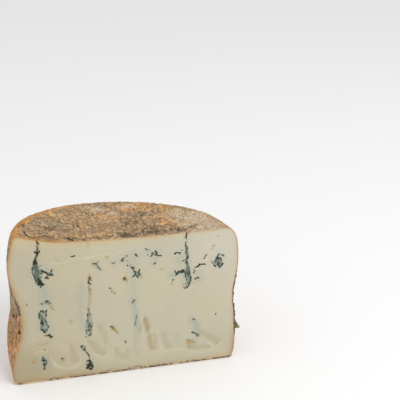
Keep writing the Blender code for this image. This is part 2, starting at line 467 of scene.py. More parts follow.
def disc_border(grid):
    """The rim of a half disc's grid in order of turn, from the right end round the back to the left."""
    return np.concatenate([grid[-1, :-1], grid[:0:-1, -1], grid[0, ::-1]])


def disc_front(turn, way):
    """A half disc of rind with its edge at the cut in front: points, depths and ways."""
    points, depth = rind_points(turn, way)
    side = np.where(turn[:, 0] > 1.0, -1.0, 1.0)
    rim = np.stack(rim_points(side, way[:, 0], depth[:, 0]), 1)
    depth, way = (np.concatenate([np.repeat(grid[:, :1], RIM_ROWS, 1), grid], 1) for grid in (depth, way))
    return np.concatenate([rim, points], 1), depth, way


def side_front(turns):
    """The side of the rind, with its edges at the cut at both ends: points, depths and ways."""
    ways = np.linspace(Q_SIDE, Q_FOOT, SIDE_ROWS + 1)
    turn, way = np.meshgrid(turns, ways, indexing="ij")
    points, depth = rind_points(turn, way)
    right = np.stack(rim_points(np.ones_like(ways), ways, depth[0]), 0)
    left = np.stack(rim_points(-np.ones_like(ways), ways, depth[-1]), 0)

    def padded(grid):
        return np.concatenate([np.repeat(grid[:1], RIM_ROWS, 0), grid, np.repeat(grid[-1:], RIM_ROWS, 0)])

    return np.concatenate([right, points, left[::-1]], 0), padded(depth), padded(way)


def inner_grid(front, normals, steps, rim_axis):
    """The coarse hidden back of a piece of rind: every few points of the front, moved in."""
    picked = front[:: steps[0], :: steps[1]]
    back = picked - normals[:: steps[0], :: steps[1]] * RIND_THICK
    behind_rim = (0, BACK_EDGE, 0)
    if rim_axis == 0:
        back[0], back[-1] = picked[0] + behind_rim, picked[-1] + behind_rim
    else:
        back[:, 0] = picked[:, 0] + behind_rim
    back[..., 1] = np.maximum(back[..., 1], CUT_Y + RIM_BACK + BACK_CLEAR)
    back[..., 2] = np.maximum(back[..., 2], BACK_CLEAR)
    return back


# ---- marks, drawn as strokes ----
# A stroke is a strength and its points (across, up, half width) in millimetres. At strength 1 its edge
# lies at the half width, and a weaker one breaks up into specks.


def stroke_field(across, up, strokes):
    """1 in the middle of the strongest stroke, 0.5 at its edge and 0 at twice its half width."""
    field = np.zeros(len(across))
    for strength, points in strokes:
        ends = points if len(points) > 1 else points * 2
        for (x0, z0, w0), (x1, z1, w1) in zip(ends[:-1], ends[1:]):
            margin = 2.1 * max(w0, w1)
            near = np.flatnonzero((across > min(x0, x1) - margin) & (across < max(x0, x1) + margin)
                                  & (up > min(z0, z1) - margin) & (up < max(z0, z1) + margin))
            length = max((x1 - x0) ** 2 + (z1 - z0) ** 2, 1e-9)
            dx, dz = across[near] - x0, up[near] - z0
            share = np.clip((dx * (x1 - x0) + dz * (z1 - z0)) / length, 0, 1)
            away = np.hypot(dx - share * (x1 - x0), dz - share * (z1 - z0))
            width = w0 + (w1 - w0) * share
            field[near] = np.maximum(field[near], strength * np.clip(1 - 0.5 * away / width, 0, 1))
    return field


def patches(across, up, spots):
    """The strongest of several soft round patches at each point, from 0 to 1."""
    field = np.zeros(len(across))
    for x, y, wide, deep in spots:
        field = np.maximum(field, np.exp(-(((across - x) / wide) ** 2) - ((up - y) / deep) ** 2))
    return field


# On the cut face: across is x and up is the height.
# blue-green mould
TEAL = (
    # the tall vein on the left, and the twig to its right
    (0.62, ((-61.8, 114, 1.3), (-62, 110, 1.6), (-62.7, 106.6, 1.9), (-63.2, 103, 1.5))),
    (1.0, ((-64.4, 100.5, 1.0), (-64.4, 96, 2.1), (-64.3, 91, 2.8), (-63.8, 86.5, 2.5), (-62.7, 82.8, 2.2),
           (-62, 81, 1.6))),
    (0.9, ((-61, 91.6, 0.9), (-58, 90, 0.9), (-55.6, 88.8, 1.4), (-53.6, 88.2, 1.0))),
    (0.8, ((-54.4, 88.5, 0.7), (-53.5, 91, 0.5))),
    # the ragged patches under it
    (0.6, ((-64, 65, 0.8), (-61.5, 65, 1.3))),
    (0.72, ((-58.8, 65.8, 1.5), (-56.6, 65.8, 1.8))),
    (0.9, ((-62.4, 58.4, 1.9), (-62, 56, 2.4))),
    (1.0, ((-62.4, 54, 2.2), (-62.2, 51, 2.0), (-61.9, 48, 2.0), (-61.5, 45.6, 2.6), (-61.4, 43.6, 2.2),
           (-61.4, 42.2, 1.0))),
    (0.7, ((-60, 58, 0.8), (-59.6, 54, 0.6))),
    (0.8, ((-61.2, 38.5, 0.8), (-59, 38.9, 0.9), (-57.4, 37.4, 1.1), (-56, 37.2, 0.8))),
    (0.85, ((-64, 20, 0.9), (-63.4, 17.5, 1.7), (-63.2, 15, 1.5), (-63.6, 12.8, 0.9))),
    # the long vein left of the middle
    (0.7, ((-28.3, 55, 0.5), (-28.4, 51, 0.9), (-28.4, 47, 1.5))),
    (0.82, ((-28.5, 47, 1.6), (-28.6, 43, 2.2), (-28.8, 39.5, 2.3), (-29, 36, 2.0), (-29.3, 34.6, 1.5))),
    (0.7, ((-34.8, 26, 1.3), (-33.6, 24, 1.1), (-32.4, 21.4, 0.7))),
    (0.7, ((-30, 11, 1.8), (-29.4, 7.4, 2.0))),
    # specks across the upper middle, and the star
    (0.7, ((-21, 92.4, 1.2), (-19.2, 88.6, 0.9))),
    (0.8, ((-1.4, 94, 1.2),)),
    (1.0, ((7.4, 82.6, 1.3), (8.9, 81.2, 2.0), (9.9, 80.4, 1.5))),
    (0.85, ((8.6, 96.3, 1.1),)),
    (0.7, ((20.4, 95.6, 1.0), (22.8, 97, 1.4), (25, 94.8, 0.9))),
    (0.7, ((21.4, 88, 1.0), (22.8, 88.6, 0.8))),
    # the branched vein on the right
    (1.0, ((46.4, 102.8, 0.5), (46.5, 100.5, 0.85), (46.8, 98.2, 1.2), (46.5, 95.5, 1.0), (47.1, 93, 1.2),
           (47.8, 91.2, 1.1), (46.8, 89, 0.9), (46.6, 87.2, 0.9))),
    (1.0, ((46.8, 86.4, 1.0), (47.4, 83.4, 1.3), (48, 80, 1.5), (47.7, 77, 2.0), (47.8, 74.4, 2.2),
           (48.4, 71.8, 2.0), (48.9, 69.8, 1.3), (49, 68.4, 0.8))),
    (0.8, ((46.6, 69, 1.5), (46.2, 66.8, 1.4))),
    (1.0, ((46.6, 78, 1.3), (43.6, 79, 1.5), (41, 78.8, 1.4), (39.2, 77.6, 1.1))),
    (0.8, ((53.6, 72.2, 1.2), (55.4, 72.6, 1.3), (56.6, 72.2, 0.9))),
    (0.7, ((54.6, 81.8, 0.8), (57, 83.6, 0.8), (60.6, 83.4, 0.6))),
    # the patch near the right side
    (0.62, ((72.2, 89.4, 1.5), (74.8, 89.2, 1.4))),
    (1.0, ((71.3, 87.6, 1.2), (71, 85, 2.4), (72.2, 82.6, 2.6), (73, 80.8, 1.6))),
    (0.9, ((69.4, 84.4, 1.1), (69, 82.2, 1.2))),
    # faint marks low on the right
    (0.75, ((51.4, 26.1, 1.1), (53.4, 25, 1.0), (55, 23.4, 1.2), (56.2, 22.8, 1.2))),
    (0.6, ((51.2, 38.2, 1.0), (53.2, 37.2, 1.0))),
)
# dark mould: the heads, edges and feet of the veins, and specks
DARK = (
    # the left vein: its brown-black head, edges and foot
    (0.58, ((-61.6, 115, 1.1), (-62, 110, 1.3), (-62.7, 106.6, 1.4), (-63.2, 103, 1.2), (-64.4, 100, 1.2))),
    (0.46, ((-64.4, 98, 1.6), (-64.3, 92, 2.6), (-63.4, 86, 2.4), (-62.6, 82, 2.0))),
    (0.9, ((-62.3, 115.2, 0.4), (-62.5, 113.4, 0.5), (-61.6, 112.4, 0.5))),
    (0.85, ((-61.0, 113.6, 0.3), (-61.6, 111.2, 0.4))),
    (1.0, ((-62.6, 110.6, 0.5), (-61.7, 109.6, 0.6), (-62.2, 108.4, 0.4))),
    (0.95, ((-64.4, 107.2, 0.4), (-63.6, 106.4, 0.4))),
    (0.9, ((-60.8, 107.6, 0.4), (-61.4, 106.2, 0.4))),
    (1.0, ((-62.6, 105.6, 0.5), (-62.9, 103.6, 0.7), (-62.4, 102.8, 0.4))),
    (0.9, ((-63.9, 103.6, 0.4), (-64.3, 101.6, 0.5), (-65, 100.2, 0.5))),
    (1.0, ((-65, 99.4, 0.8), (-64.8, 97.9, 1.1), (-63.2, 98.2, 0.6))),
    (0.9, ((-66.6, 95, 0.3), (-67, 91.5, 0.4), (-66.6, 88.8, 0.6), (-65.6, 86, 0.5), (-64.9, 83, 0.5))),
    (1.0, ((-63, 85.2, 0.8), (-62.6, 83, 1.4), (-62.3, 81.3, 1.5), (-61, 80.6, 1.0), (-59.4, 80.2, 0.5))),
    (0.95, ((-60.9, 95.4, 0.5),)),
    (1.0, ((-60.6, 92.2, 0.6), (-59.7, 91, 0.6), (-58.2, 89.9, 0.7), (-56.9, 88.9, 0.5), (-56.4, 88, 0.6))),
    (1.0, ((-60.9, 89.8, 0.5), (-60.7, 88.8, 0.5))),
    (1.0, ((-55.4, 87.8, 0.6), (-53, 87.1, 0.7))),
    (1.0, ((-53.4, 91.6, 0.5), (-53.7, 90.4, 0.4))),
    (0.8, ((-62.6, 78.8, 0.5), (-60.4, 79.4, 0.4))),
    (1.0, ((-57.1, 85.7, 1.2), (-56.7, 85.2, 1.1))),
    # the patches under it
    (0.75, ((-63, 65.8, 0.5), (-61.6, 64.2, 0.5), (-61, 66, 0.4))),
    (0.8, ((-59, 65.2, 0.6),)),
    (0.9, ((-57.8, 66.6, 0.6), (-56.8, 67, 0.4))),
    (0.85, ((-57, 64.6, 0.6), (-55.8, 64.2, 0.4))),
    (0.75, ((-55.4, 66.2, 0.5),)),
    (1.0, ((-55.1, 62.4, 0.5),)),
    (0.9, ((-61.6, 58.2, 0.4), (-63.4, 59.2, 0.5), (-64.5, 57.6, 0.5), (-64.3, 55.6, 0.5), (-65.2, 53.6, 0.4),
           (-65, 52.4, 0.3))),
    (1.0, ((-63.6, 52.2, 0.5), (-63.4, 50, 0.75), (-62.8, 48.2, 0.6))),
    (0.95, ((-60, 58.2, 0.5), (-58.7, 59.7, 0.5))),
    (0.9, ((-59.3, 57.2, 0.4), (-59.2, 54.8, 0.3))),
    (0.85, ((-60.3, 52.4, 0.3), (-60, 50, 0.5), (-59.4, 48, 0.4), (-58.5, 46.4, 0.5), (-58.7, 44.8, 0.4),
            (-59.8, 43.6, 0.5))),
    (1.0, ((-64.4, 44.2, 0.6), (-63.2, 43.4, 0.6), (-62.2, 42.6, 0.5), (-61.4, 41.4, 0.8))),
    (0.85, ((-61.6, 38, 0.5), (-60.4, 38.9, 0.8), (-59.4, 38.3, 0.6))),
    (0.9, ((-58.6, 39.2, 0.5), (-57.4, 38, 0.7), (-56.2, 37.4, 0.8))),
    (0.8, ((-57.8, 36.4, 0.5),)),
    (0.95, ((-62.7, 26.8, 0.4),)),
    (0.74, ((-63.2, 15.4, 0.8), (-63.5, 12.8, 0.9), (-63.6, 10.4, 0.7))),
    (1.0, ((-64.2, 20.6, 0.6), (-64.4, 20, 0.5))),
    (1.0, ((-65, 18.5, 0.5), (-63.6, 17.9, 0.7), (-61.8, 16.8, 0.6))),
    (0.9, ((-61.7, 15.6, 0.4), (-62.8, 13.8, 0.4), (-63.5, 12.9, 0.6))),
    # the long vein's head, outline, tail and black foot
    (1.0, ((-26.4, 82.6, 0.6), (-27, 81, 0.4), (-27.5, 79.4, 0.5))),
    (0.9, ((-27.4, 78.8, 0.6), (-26.9, 77.6, 0.6), (-26, 76.4, 0.4))),
    (0.8, ((-25.6, 81.6, 0.4), (-25.8, 79.2, 0.35))),
    (0.64, ((-27.5, 75, 0.4), (-27.3, 71, 0.4), (-27.6, 68.6, 0.5))),
    (0.58, ((-26.2, 73.4, 0.4), (-26.2, 69.4, 0.4))),
    (0.7, ((-27.4, 43.6, 0.5), (-28.6, 42, 0.4), (-29.6, 40.4, 0.5))),
    (0.8, ((-28.9, 57.6, 0.3), (-29, 54, 0.3), (-29.6, 50, 0.3), (-30.2, 46, 0.3), (-30.9, 42, 0.35),
           (-31.0, 38.6, 0.35), (-31.0, 36, 0.4), (-30.6, 34.4, 0.4))),
    (0.8, ((-28, 57, 0.3), (-27.6, 53.6, 0.3), (-27, 50, 0.3), (-26.4, 46, 0.3), (-26.1, 43, 0.35),
           (-26.6, 40, 0.35), (-27, 37.6, 0.35), (-27.6, 35, 0.4), (-28.8, 33.9, 0.4))),
    (0.7, ((-27.3, 41.6, 0.3), (-28.4, 38.8, 0.3), (-30, 38, 0.3))),
    (0.95, ((-35.8, 26.4, 0.5), (-34.4, 26.2, 0.4))),
    (0.8, ((-35.4, 25.2, 0.3), (-34.2, 23.4, 0.4), (-33.4, 21.9, 0.5))),
    (0.85, ((-33.2, 25.8, 0.4), (-32.6, 24.4, 0.4), (-33, 22.4, 0.4), (-32.1, 20.8, 0.6), (-31, 19.1, 0.6),
            (-30.1, 17.8, 0.5), (-29.7, 16.2, 0.4), (-29.5, 14.4, 0.4))),
    (1.0, ((-31.4, 12.6, 0.6), (-30, 13.1, 0.7), (-28.8, 12.2, 0.8), (-28.1, 10.6, 0.9))),
    (1.0, ((-30.6, 8.8, 1.3), (-29, 9.3, 1.5), (-27.9, 8, 1.2), (-27.6, 6.8, 0.8))),
    (1.0, ((-30.2, 7.2, 0.9), (-28.8, 7.2, 0.9))),
    (1.0, ((-31.4, 7.2, 0.8), (-30.6, 6, 0.8), (-29.4, 5.1, 0.9), (-28.4, 5.8, 0.8))),
    (0.8, ((-32.9, 10.1, 0.5), (-32, 9.8, 0.3))),
    # specks across the upper middle
    (1.0, ((-38.6, 100.2, 0.4), (-37.2, 100.5, 0.5), (-36.6, 100.9, 0.6))),
    (1.0, ((-22, 92.7, 0.6), (-20.6, 92.3, 0.8))),
    (0.85, ((-23.6, 92.8, 0.4), (-22.4, 92.6, 0.4))),
    (0.85, ((-19.8, 94, 0.5),)),
    (0.8, ((-20.3, 90.9, 0.4), (-19.6, 89.8, 0.3))),
    (0.75, ((-19, 88.2, 0.5), (-18.2, 87.4, 0.5))),
    (0.8, ((-10.4, 92.3, 0.3), (-9, 91.3, 0.4), (-7.2, 92, 0.5))),
    (0.9, ((-0.2, 95.2, 0.5), (-1.6, 94.4, 0.4), (-2.8, 93.9, 0.4), (-2.4, 93, 0.4), (-1, 92.9, 0.5))),
    (0.9, ((1.8, 96.6, 0.6),)),
    (1.0, ((8.2, 96.9, 0.6), (8.8, 96, 0.6))),
    (0.9, ((10.3, 95.4, 0.5),)),
    (0.8, ((2, 88.9, 0.7),)),
    (0.85, ((4.2, 89.1, 0.5), (4.7, 88.6, 0.4))),
    (1.0, ((4.4, 87.3, 0.6), (6, 86.6, 0.8), (7, 85.2, 0.6))),
    (0.9, ((7.2, 87.1, 0.4), (6.4, 86.6, 0.4))),
    (1.0, ((11.2, 84.3, 0.5), (10.3, 82.6, 0.6), (10.5, 81, 0.5), (11.4, 80.1, 0.4))),
    (0.9, ((6.9, 83.4, 0.6), (8, 82.4, 0.5))),
    (1.0, ((5.6, 79, 0.6), (6.9, 80.5, 0.6), (7.6, 81.4, 0.4))),
    (0.95, ((8.6, 79.6, 0.5), (9.7, 78.2, 0.5))),
    (0.7, ((12.2, 78.4, 0.4), (13.2, 77.9, 0.4))),
    (0.9, ((15.9, 100.5, 0.5), (17, 99.9, 0.4))),
    (0.7, ((18.2, 100.1, 0.4), (19, 99.9, 0.4))),
    (0.85, ((17.1, 96.1, 0.6),)),
    (1.0, ((19.9, 94.5, 0.6), (20.6, 95.4, 0.4))),
    (0.95, ((20, 96.8, 0.4), (21.4, 96.4, 0.4), (21.3, 95.7, 0.4))),
    (1.0, ((22.4, 97.4, 0.4), (23.2, 97.2, 0.6), (23.4, 98.7, 0.4))),
    (0.9, ((23.4, 96.3, 0.5), (24.6, 97, 0.3))),
    (1.0, ((22.7, 94.7, 0.4), (24.4, 95.2, 0.4), (26.2, 94.5, 0.6), (28, 93.5, 0.3))),
    (0.85, ((22.9, 88.6, 0.6), (21.4, 87.3, 0.4))),
    (1.0, ((38, 94.5, 0.6), (38.8, 95.2, 0.5), (40.2, 95.1, 0.5), (41.6, 94.4, 0.7))),
    (0.8, ((43.6, 96.8, 0.6),)),
    # the branched vein on the right
    (1.0, ((47.2, 110.4, 0.5), (46.9, 108.8, 0.6), (46.8, 106.2, 0.55))),
    (0.9, ((46.6, 103.1, 0.5), (46.3, 102, 0.4))),
    (0.8, ((45.8, 101, 0.3), (45.9, 97.5, 0.3), (45.7, 94.5, 0.3))),
    (0.85, ((47.6, 99, 0.3), (47.2, 96, 0.3))),
    (0.95, ((48.4, 92, 0.5), (47.5, 90.4, 0.5), (46.9, 88.8, 0.5))),
    (0.9, ((45.3, 88.6, 0.5), (44, 87.8, 0.5))),
    (1.0, ((46, 86.2, 0.6), (47.4, 86.8, 0.6), (47.2, 85.2, 0.5))),
    (0.85, ((48.7, 83, 0.4), (49.2, 79.6, 0.5), (49.2, 76.2, 0.4), (50.1, 72.8, 0.5), (50.2, 70.4, 0.4))),
    (0.8, ((46.4, 82, 0.4), (45.7, 77.4, 0.5), (46.2, 74.4, 0.4), (46.8, 71.4, 0.4))),
    (0.7, ((47.8, 78.6, 0.6), (48.2, 75.8, 0.5))),
    (0.95, ((49.2, 69.2, 0.5), (48.8, 67.6, 0.6), (47.6, 65.8, 0.4), (46.4, 64.9, 0.4), (44.9, 65.6, 0.35))),
    (0.8, ((44.2, 69.2, 0.35), (44, 67.4, 0.35), (44.1, 66, 0.35))),
    (1.0, ((44.4, 79, 0.8), (42.6, 79.3, 0.9), (41, 79.2, 0.9), (40.2, 78.7, 0.7), (38.7, 76.9, 0.7))),
    (0.95, ((38, 80.4, 0.4), (38.2, 78.8, 0.5))),
    (0.9, ((43.4, 81.2, 0.3), (43.6, 80, 0.4))),
    (0.75, ((35.9, 76.4, 0.5),)),
    (1.0, ((53.2, 81.4, 0.4), (54.6, 81.7, 0.5), (55.6, 82.6, 0.7), (57.2, 83.9, 0.5), (58, 84, 0.4))),
    (1.0, ((58.8, 83.5, 0.5), (60.2, 83.6, 0.5), (61.6, 82.6, 0.4))),
    (0.8, ((52.2, 79.6, 0.4), (53, 78.4, 0.4), (52.5, 77, 0.5))),
    (0.8, ((62.4, 91.6, 0.5), (61.3, 89.6, 0.35), (60.2, 87.8, 0.35))),
    (0.8, ((52.8, 72.2, 0.4), (54.2, 71.5, 0.5), (56.4, 71.9, 0.5), (55.4, 73.2, 0.4))),
    # the patch near the right side
    (1.0, ((70.8, 88.6, 0.6), (71.6, 89.6, 0.6), (72.2, 91, 0.5))),
    (1.0, ((74.8, 90.2, 0.5), (75.7, 89.2, 0.5), (76.3, 88.4, 0.4))),
    (0.9, ((66.2, 85.6, 0.3), (66.8, 84.6, 0.4), (67.8, 83.4, 0.5))),
    (1.0, ((68.1, 82.1, 0.6), (69.4, 80.6, 0.6))),
    (1.0, ((70.8, 87.4, 0.6), (72.2, 87.2, 0.6), (73.9, 86.6, 0.5), (74.2, 85, 0.5))),
    (0.95, ((71.9, 83.2, 0.6), (71, 81.4, 0.5), (72.6, 79.7, 0.6))),
    (0.9, ((75, 81.9, 0.6), (74, 80.5, 0.5))),
    (0.9, ((69, 85.4, 0.5), (70.4, 85.8, 0.4))),
    # faint marks low on the right
    (0.75, ((51, 38.6, 0.3), (52.6, 37.6, 0.5), (53.8, 37, 0.4))),
    (0.85, ((50.7, 26.4, 0.5), (52.4, 25.8, 0.5), (53.8, 24.6, 0.4), (54.2, 23, 0.5), (55.8, 22.2, 0.6))),
    (0.8, ((57, 23.4, 0.5), (55.8, 24.7, 0.4))),
    # single marks
    (1.0, ((70.1, 39.9, 0.7),)),
    (0.75, ((4.9, 57.6, 0.7), (5.4, 58.8, 0.4), (6.9, 59.4, 0.5))),
    (0.62, ((7.7, 47, 0.6), (7.2, 43.5, 0.8), (6.2, 38.6, 0.7))),
)
# pale blue-grey hearts of the veins
PALE = (
    (0.8, ((-62.4, 58, 0.9), (-61.6, 56.4, 1.3), (-61.2, 54.4, 1.0))),
    (1.0, ((-61.4, 45.4, 1.3), (-59.8, 46.6, 0.8))),
    (0.8, ((-61.2, 49.6, 0.6), (-61.4, 47.4, 0.6))),
    (0.6, ((-63.3, 15.8, 0.8),)),
    (0.8, ((-28.8, 41.2, 0.6), (-28.4, 39.8, 0.5))),
    (1.0, ((-29.4, 37.2, 1.0), (-29.3, 35.6, 0.9))),
    (0.75, ((-28.3, 49, 0.6), (-28, 45.6, 0.8))),
    (1.0, ((-31, 11.2, 0.6), (-29.9, 11.1, 0.5))),
    (1.0, ((-31.6, 8.8, 0.5),)),
    (0.9, ((-28.2, 9.4, 0.3),)),
    (0.8, ((-34, 24.8, 0.6),)),
    (0.7, ((46, 68.4, 1.2), (46.3, 66.8, 1.1))),
    (0.8, ((47.4, 74.4, 0.6), (48.2, 71.6, 0.7))),
    (0.85, ((70.2, 82.6, 0.7),)),
    (0.75, ((73.2, 84, 0.6),)),
    (0.9, ((9.2, 81.2, 0.9),)),
    (1.0, ((73.0, 89.9, 1.2), (74.2, 88.2, 1.0))),
    (0.9, ((-57.4, 65.2, 0.5),)),
)
# grey-blue bloom under the surface
BLOOM = (
    (0.5, ((8, 100, 4), (6, 88, 6), (6.5, 74, 5), (6.5, 62, 5), (6.5, 50, 4), (7, 40, 4), (6, 28, 4),
           (6, 17, 4))),
    (0.95, ((5.6, 61, 1.6), (7.6, 48, 2.4), (7.2, 38, 2.4), (9.6, 34, 1.6))),
    (0.6, ((2, 91.4, 3), (4, 89, 2))),
    (0.5, ((-33, 78, 3), (-33.5, 66, 4), (-34, 52, 3.5), (-33.5, 40, 3))),
    (0.62, ((-60, 79, 4), (-59, 72, 5), (-60, 66, 5))),
    (0.6, ((-62, 52, 5), (-61.5, 44, 5))),
    (0.6, ((-57, 92, 3), (-54, 90, 3))),
    (0.6, ((-64, 92, 5), (-62.5, 83, 4))),
    (0.7, ((-63.2, 17, 4), (-63.3, 12, 3))),
    (0.6, ((-29.5, 10, 5),)),
    (0.4, ((-33.6, 24, 3), (-30.5, 18, 3))),
    (0.55, ((-21, 92.5, 3.5), (-19, 88.5, 3))),
    (0.5, ((-10, 92, 3), (0, 94, 5), (10, 96, 5))),
    (0.6, ((6, 86, 4), (9, 81, 5))),
    (0.5, ((18, 98, 4), (24, 96, 4.5), (22, 89, 4))),
    (0.6, ((42, 91, 5), (44, 86, 5))),
    (0.7, ((47, 90, 3.5), (47.5, 80, 4), (47, 72, 4.5))),
    (0.6, ((40, 78, 4), (34, 77, 3))),
    (0.55, ((53, 79, 4), (56, 76, 4), (56, 73, 4))),
    (0.7, ((71.5, 85, 5.5), (74, 89.5, 3.5))),
    (1.3, ((73.6, 89.4, 3.2),)),
    (0.85, ((51.5, 37, 3), (54, 32, 3.2), (55.6, 27, 3.4), (55.4, 23.5, 3))),
)
# small holes: brown in the middle and golden round it. Weak ones are all golden.
HOLES = (
    (0.8, ((-73.2, 65.8, 0.8), (-72.8, 64.6, 0.6))),
    (0.75, ((-57.6, 64.2, 0.8), (-56.8, 63.8, 0.9))),
    (0.7, ((-56.4, 61.2, 0.5), (-55.2, 60.2, 0.7), (-53.2, 58.2, 0.4))),
    (0.9, ((-50.4, 17.2, 0.8), (-49.4, 17, 0.8))),
    (0.6, ((-50, 16, 1.5),)),
    (0.62, ((-72.6, 16.4, 1.1), (-70.4, 17.6, 1.1))),
    (1.0, ((-0.8, 78.4, 1.3), (-0.1, 77.2, 1.3))),
    (0.6, ((-0.4, 77.8, 2.0),)),
    (0.7, ((1.4, 76, 0.7),)),
    (0.75, ((1.4, 92.8, 0.5), (2.6, 92.2, 0.6))),
    (0.62, ((-12.8, 96.8, 1.2),)),
    (0.85, ((-12.6, 72, 0.5), (-11.7, 71.6, 0.6), (-11.3, 70.6, 0.4))),
    (0.7, ((-11.2, 70, 0.4), (-9.2, 67.6, 0.5), (-8.3, 66.4, 0.6))),
    (0.55, ((-8.1, 71.5, 0.7),)),
    (0.65, ((0.7, 83, 0.9),)),
    (0.84, ((-12, 39.4, 0.9), (-11, 38.2, 1.2), (-9.8, 36.6, 0.7))),
    (0.62, ((-12.4, 39.8, 0.7), (-10.2, 37.4, 1.7), (-8, 34.4, 1.0), (-7, 33, 0.5))),
    (0.6, ((-20.6, 51.4, 0.6),)),
    (0.58, ((-13.3, 49.5, 0.4), (-12.4, 50.2, 0.5))),
    (0.7, ((-12.4, 23.8, 0.7),)),
    (0.84, ((-1.8, 25.8, 0.6), (-1.4, 24.4, 0.9))),
    (0.5, ((5.4, 25.2, 0.8),)),
    (0.9, ((36, 72.9, 1.0), (36.7, 73.7, 0.7))),
    (0.62, ((26.6, 83, 0.9), (28.4, 82.7, 0.9))),
    (0.58, ((34.4, 70, 0.6), (35, 71, 0.6), (35.6, 69.6, 0.5))),
    (0.8, ((71.5, 106.1, 0.6),)),
    (0.75, ((68.2, 98.5, 0.6), (66.8, 97.9, 0.5))),
    (0.58, ((67.4, 78, 0.6),)),
    (0.58, ((32.3, 77.2, 0.6),)),
    (0.62, ((62.6, 41.6, 0.6),)),
    (0.6, ((-77.2, 106.4, 0.6),)),
    (0.55, ((-50.6, 101.1, 0.7),)),
    (0.75, ((-31.6, 34, 0.5), (-31, 33.2, 0.5))),
    (0.6, ((-27.8, 75, 0.3), (-27.4, 71, 0.4), (-27.2, 68.4, 0.7), (-27.8, 66, 0.4))),
    (0.6, ((-26, 73.6, 0.35), (-25.8, 70, 0.35))),
    (0.62, ((46.8, 19.4, 1.2), (49.4, 18.2, 1.9), (52, 17.2, 1.3))),
    (0.6, ((47.2, 17, 1.4), (50, 16.6, 1.4))),
)
# rusty threads
RUST = (
    (0.8, ((-26.8, 84, 1.3), (-26.8, 79, 1.6), (-26.6, 75.5, 1.3))),
    (0.8, ((-26.9, 75, 1.0), (-26.8, 70, 1.3), (-27.2, 64, 1.3), (-27.8, 59, 1.2), (-28.2, 54, 0.9))),
    (0.75, ((-63.5, 14, 1.6), (-63.6, 10.6, 1.4))),
    (0.55, ((-62, 113, 2.2), (-62.6, 106, 2.6), (-63.4, 101, 2.0))),
    (0.62, ((47, 110, 2.0), (46.8, 106, 2.2))),
    (0.5, ((5.4, 25.2, 1.6),)),
    (0.5, ((-1.5, 24.4, 1.6),)),
    (0.5, ((-23.6, 93, 2.0), (-18.4, 88, 1.6))),
    (0.45, ((67, 95.6, 2.4),)),
    (0.5, ((-26.6, 109.8, 2.2), (-26, 107.6, 1.2))),
    (0.45, ((6, 58.6, 2.4),)),
    (0.4, ((10.4, 37, 1.6), (9, 30, 1.4))),
)
# translucent yellowish hollows, where the knife opened soft holes
POCKETS = (
    (1.0, ((13.8, 44, 1.0), (14.4, 41, 2.2), (15.4, 38, 2.8), (15.6, 35, 2.4), (15.6, 31.4, 1.2))),
    (0.85, ((16.6, 29, 1.4), (17, 24.6, 2.6), (17.6, 20, 2.8), (18.8, 15.8, 2.2))),
    (0.66, ((20.6, 28.4, 1.6), (21, 22, 2.2), (20.8, 15.4, 2.0))),
    (1.0, ((47.2, 19, 1.8), (49.5, 18.2, 2.2), (52.4, 17, 1.8))),
    (0.8, ((47.2, 16.8, 2.0), (48.6, 13.4, 2.8))),
    (0.7, ((-11.4, 38.8, 2.2), (-9.4, 35.8, 2.2), (-7.4, 33.4, 1.4))),
    (0.8, ((-50, 15.8, 2.6),)),
    (0.7, ((-72.4, 16.6, 2.0), (-70.6, 17.6, 2.0))),
    (0.7, ((-42.4, 47.6, 2.2), (-42, 46.6, 1.6))),
    (0.75, ((-0.2, 77.4, 3.0),)),
    (0.6, ((26.4, 83, 1.6), (28.6, 82.7, 1.6))),
    (0.55, ((35, 69.9, 2.2),)),
    (0.55, ((-12.8, 96.6, 2.2),)),
    (0.5, ((-68.6, 31.6, 1.4), (-64, 31, 2.2), (-59, 31.6, 1.8))),
    (0.5, ((-57.4, 64, 2.4), (-55, 60, 2.0))),
    (0.5, ((-12, 71.6, 1.8), (-8.6, 66.6, 1.6))),
    (0.45, ((-12.8, 24, 2.0),)),
)
# dark crumbs of the crust: specks down the left edge by the pinch, and a row along the base
CRUMBS = (
    (1.0, ((-80.2, 70, 0.6), (-79.2, 66.5, 0.7), (-78.4, 62, 0.6), (-77.8, 58, 0.5))),
    (0.8, ((-78, 52, 0.4), (-78.6, 45, 0.6), (-79, 43, 0.6))),
    (0.9, ((-84, 0.7, 0.9), (-79, 0.2, 0.8))),
    (0.85, ((-60, 0.9, 1.1), (-57.4, 1.8, 1.5), (-53, 1.2, 1.3), (-49, 0.9, 1.1))),
    (0.8, ((-44, 0.4, 1.0), (-36, 0.5, 1.1), (-30, 0.4, 1.0), (-26, 0.5, 1.0))),
    (0.9, ((-22, 0.3, 1.0), (-18, 0.7, 1.2), (-15, 1.6, 1.4))),
    (0.8, ((-11, 0.5, 0.9), (-4, 0.5, 1.1), (0, 1.1, 1.3))),
    (0.85, ((0, 1.1, 1.3), (3, 1.8, 1.6), (6, 2.2, 1.8), (10, 1.7, 1.5), (14, 1.1, 1.2))),
    (0.85, ((17, 0.5, 1.2), (24, 0.7, 1.2), (30, 1.0, 1.4), (35, 0.5, 1.0))),
    (0.85, ((41, 0.3, 0.9), (51, 0.9, 1.2), (56, 0.5, 1.1), (62, 0.3, 0.9))),
    (0.8, ((68, 0.3, 0.9), (77, 0.4, 1.0), (82, 0.6, 1.0))),
)
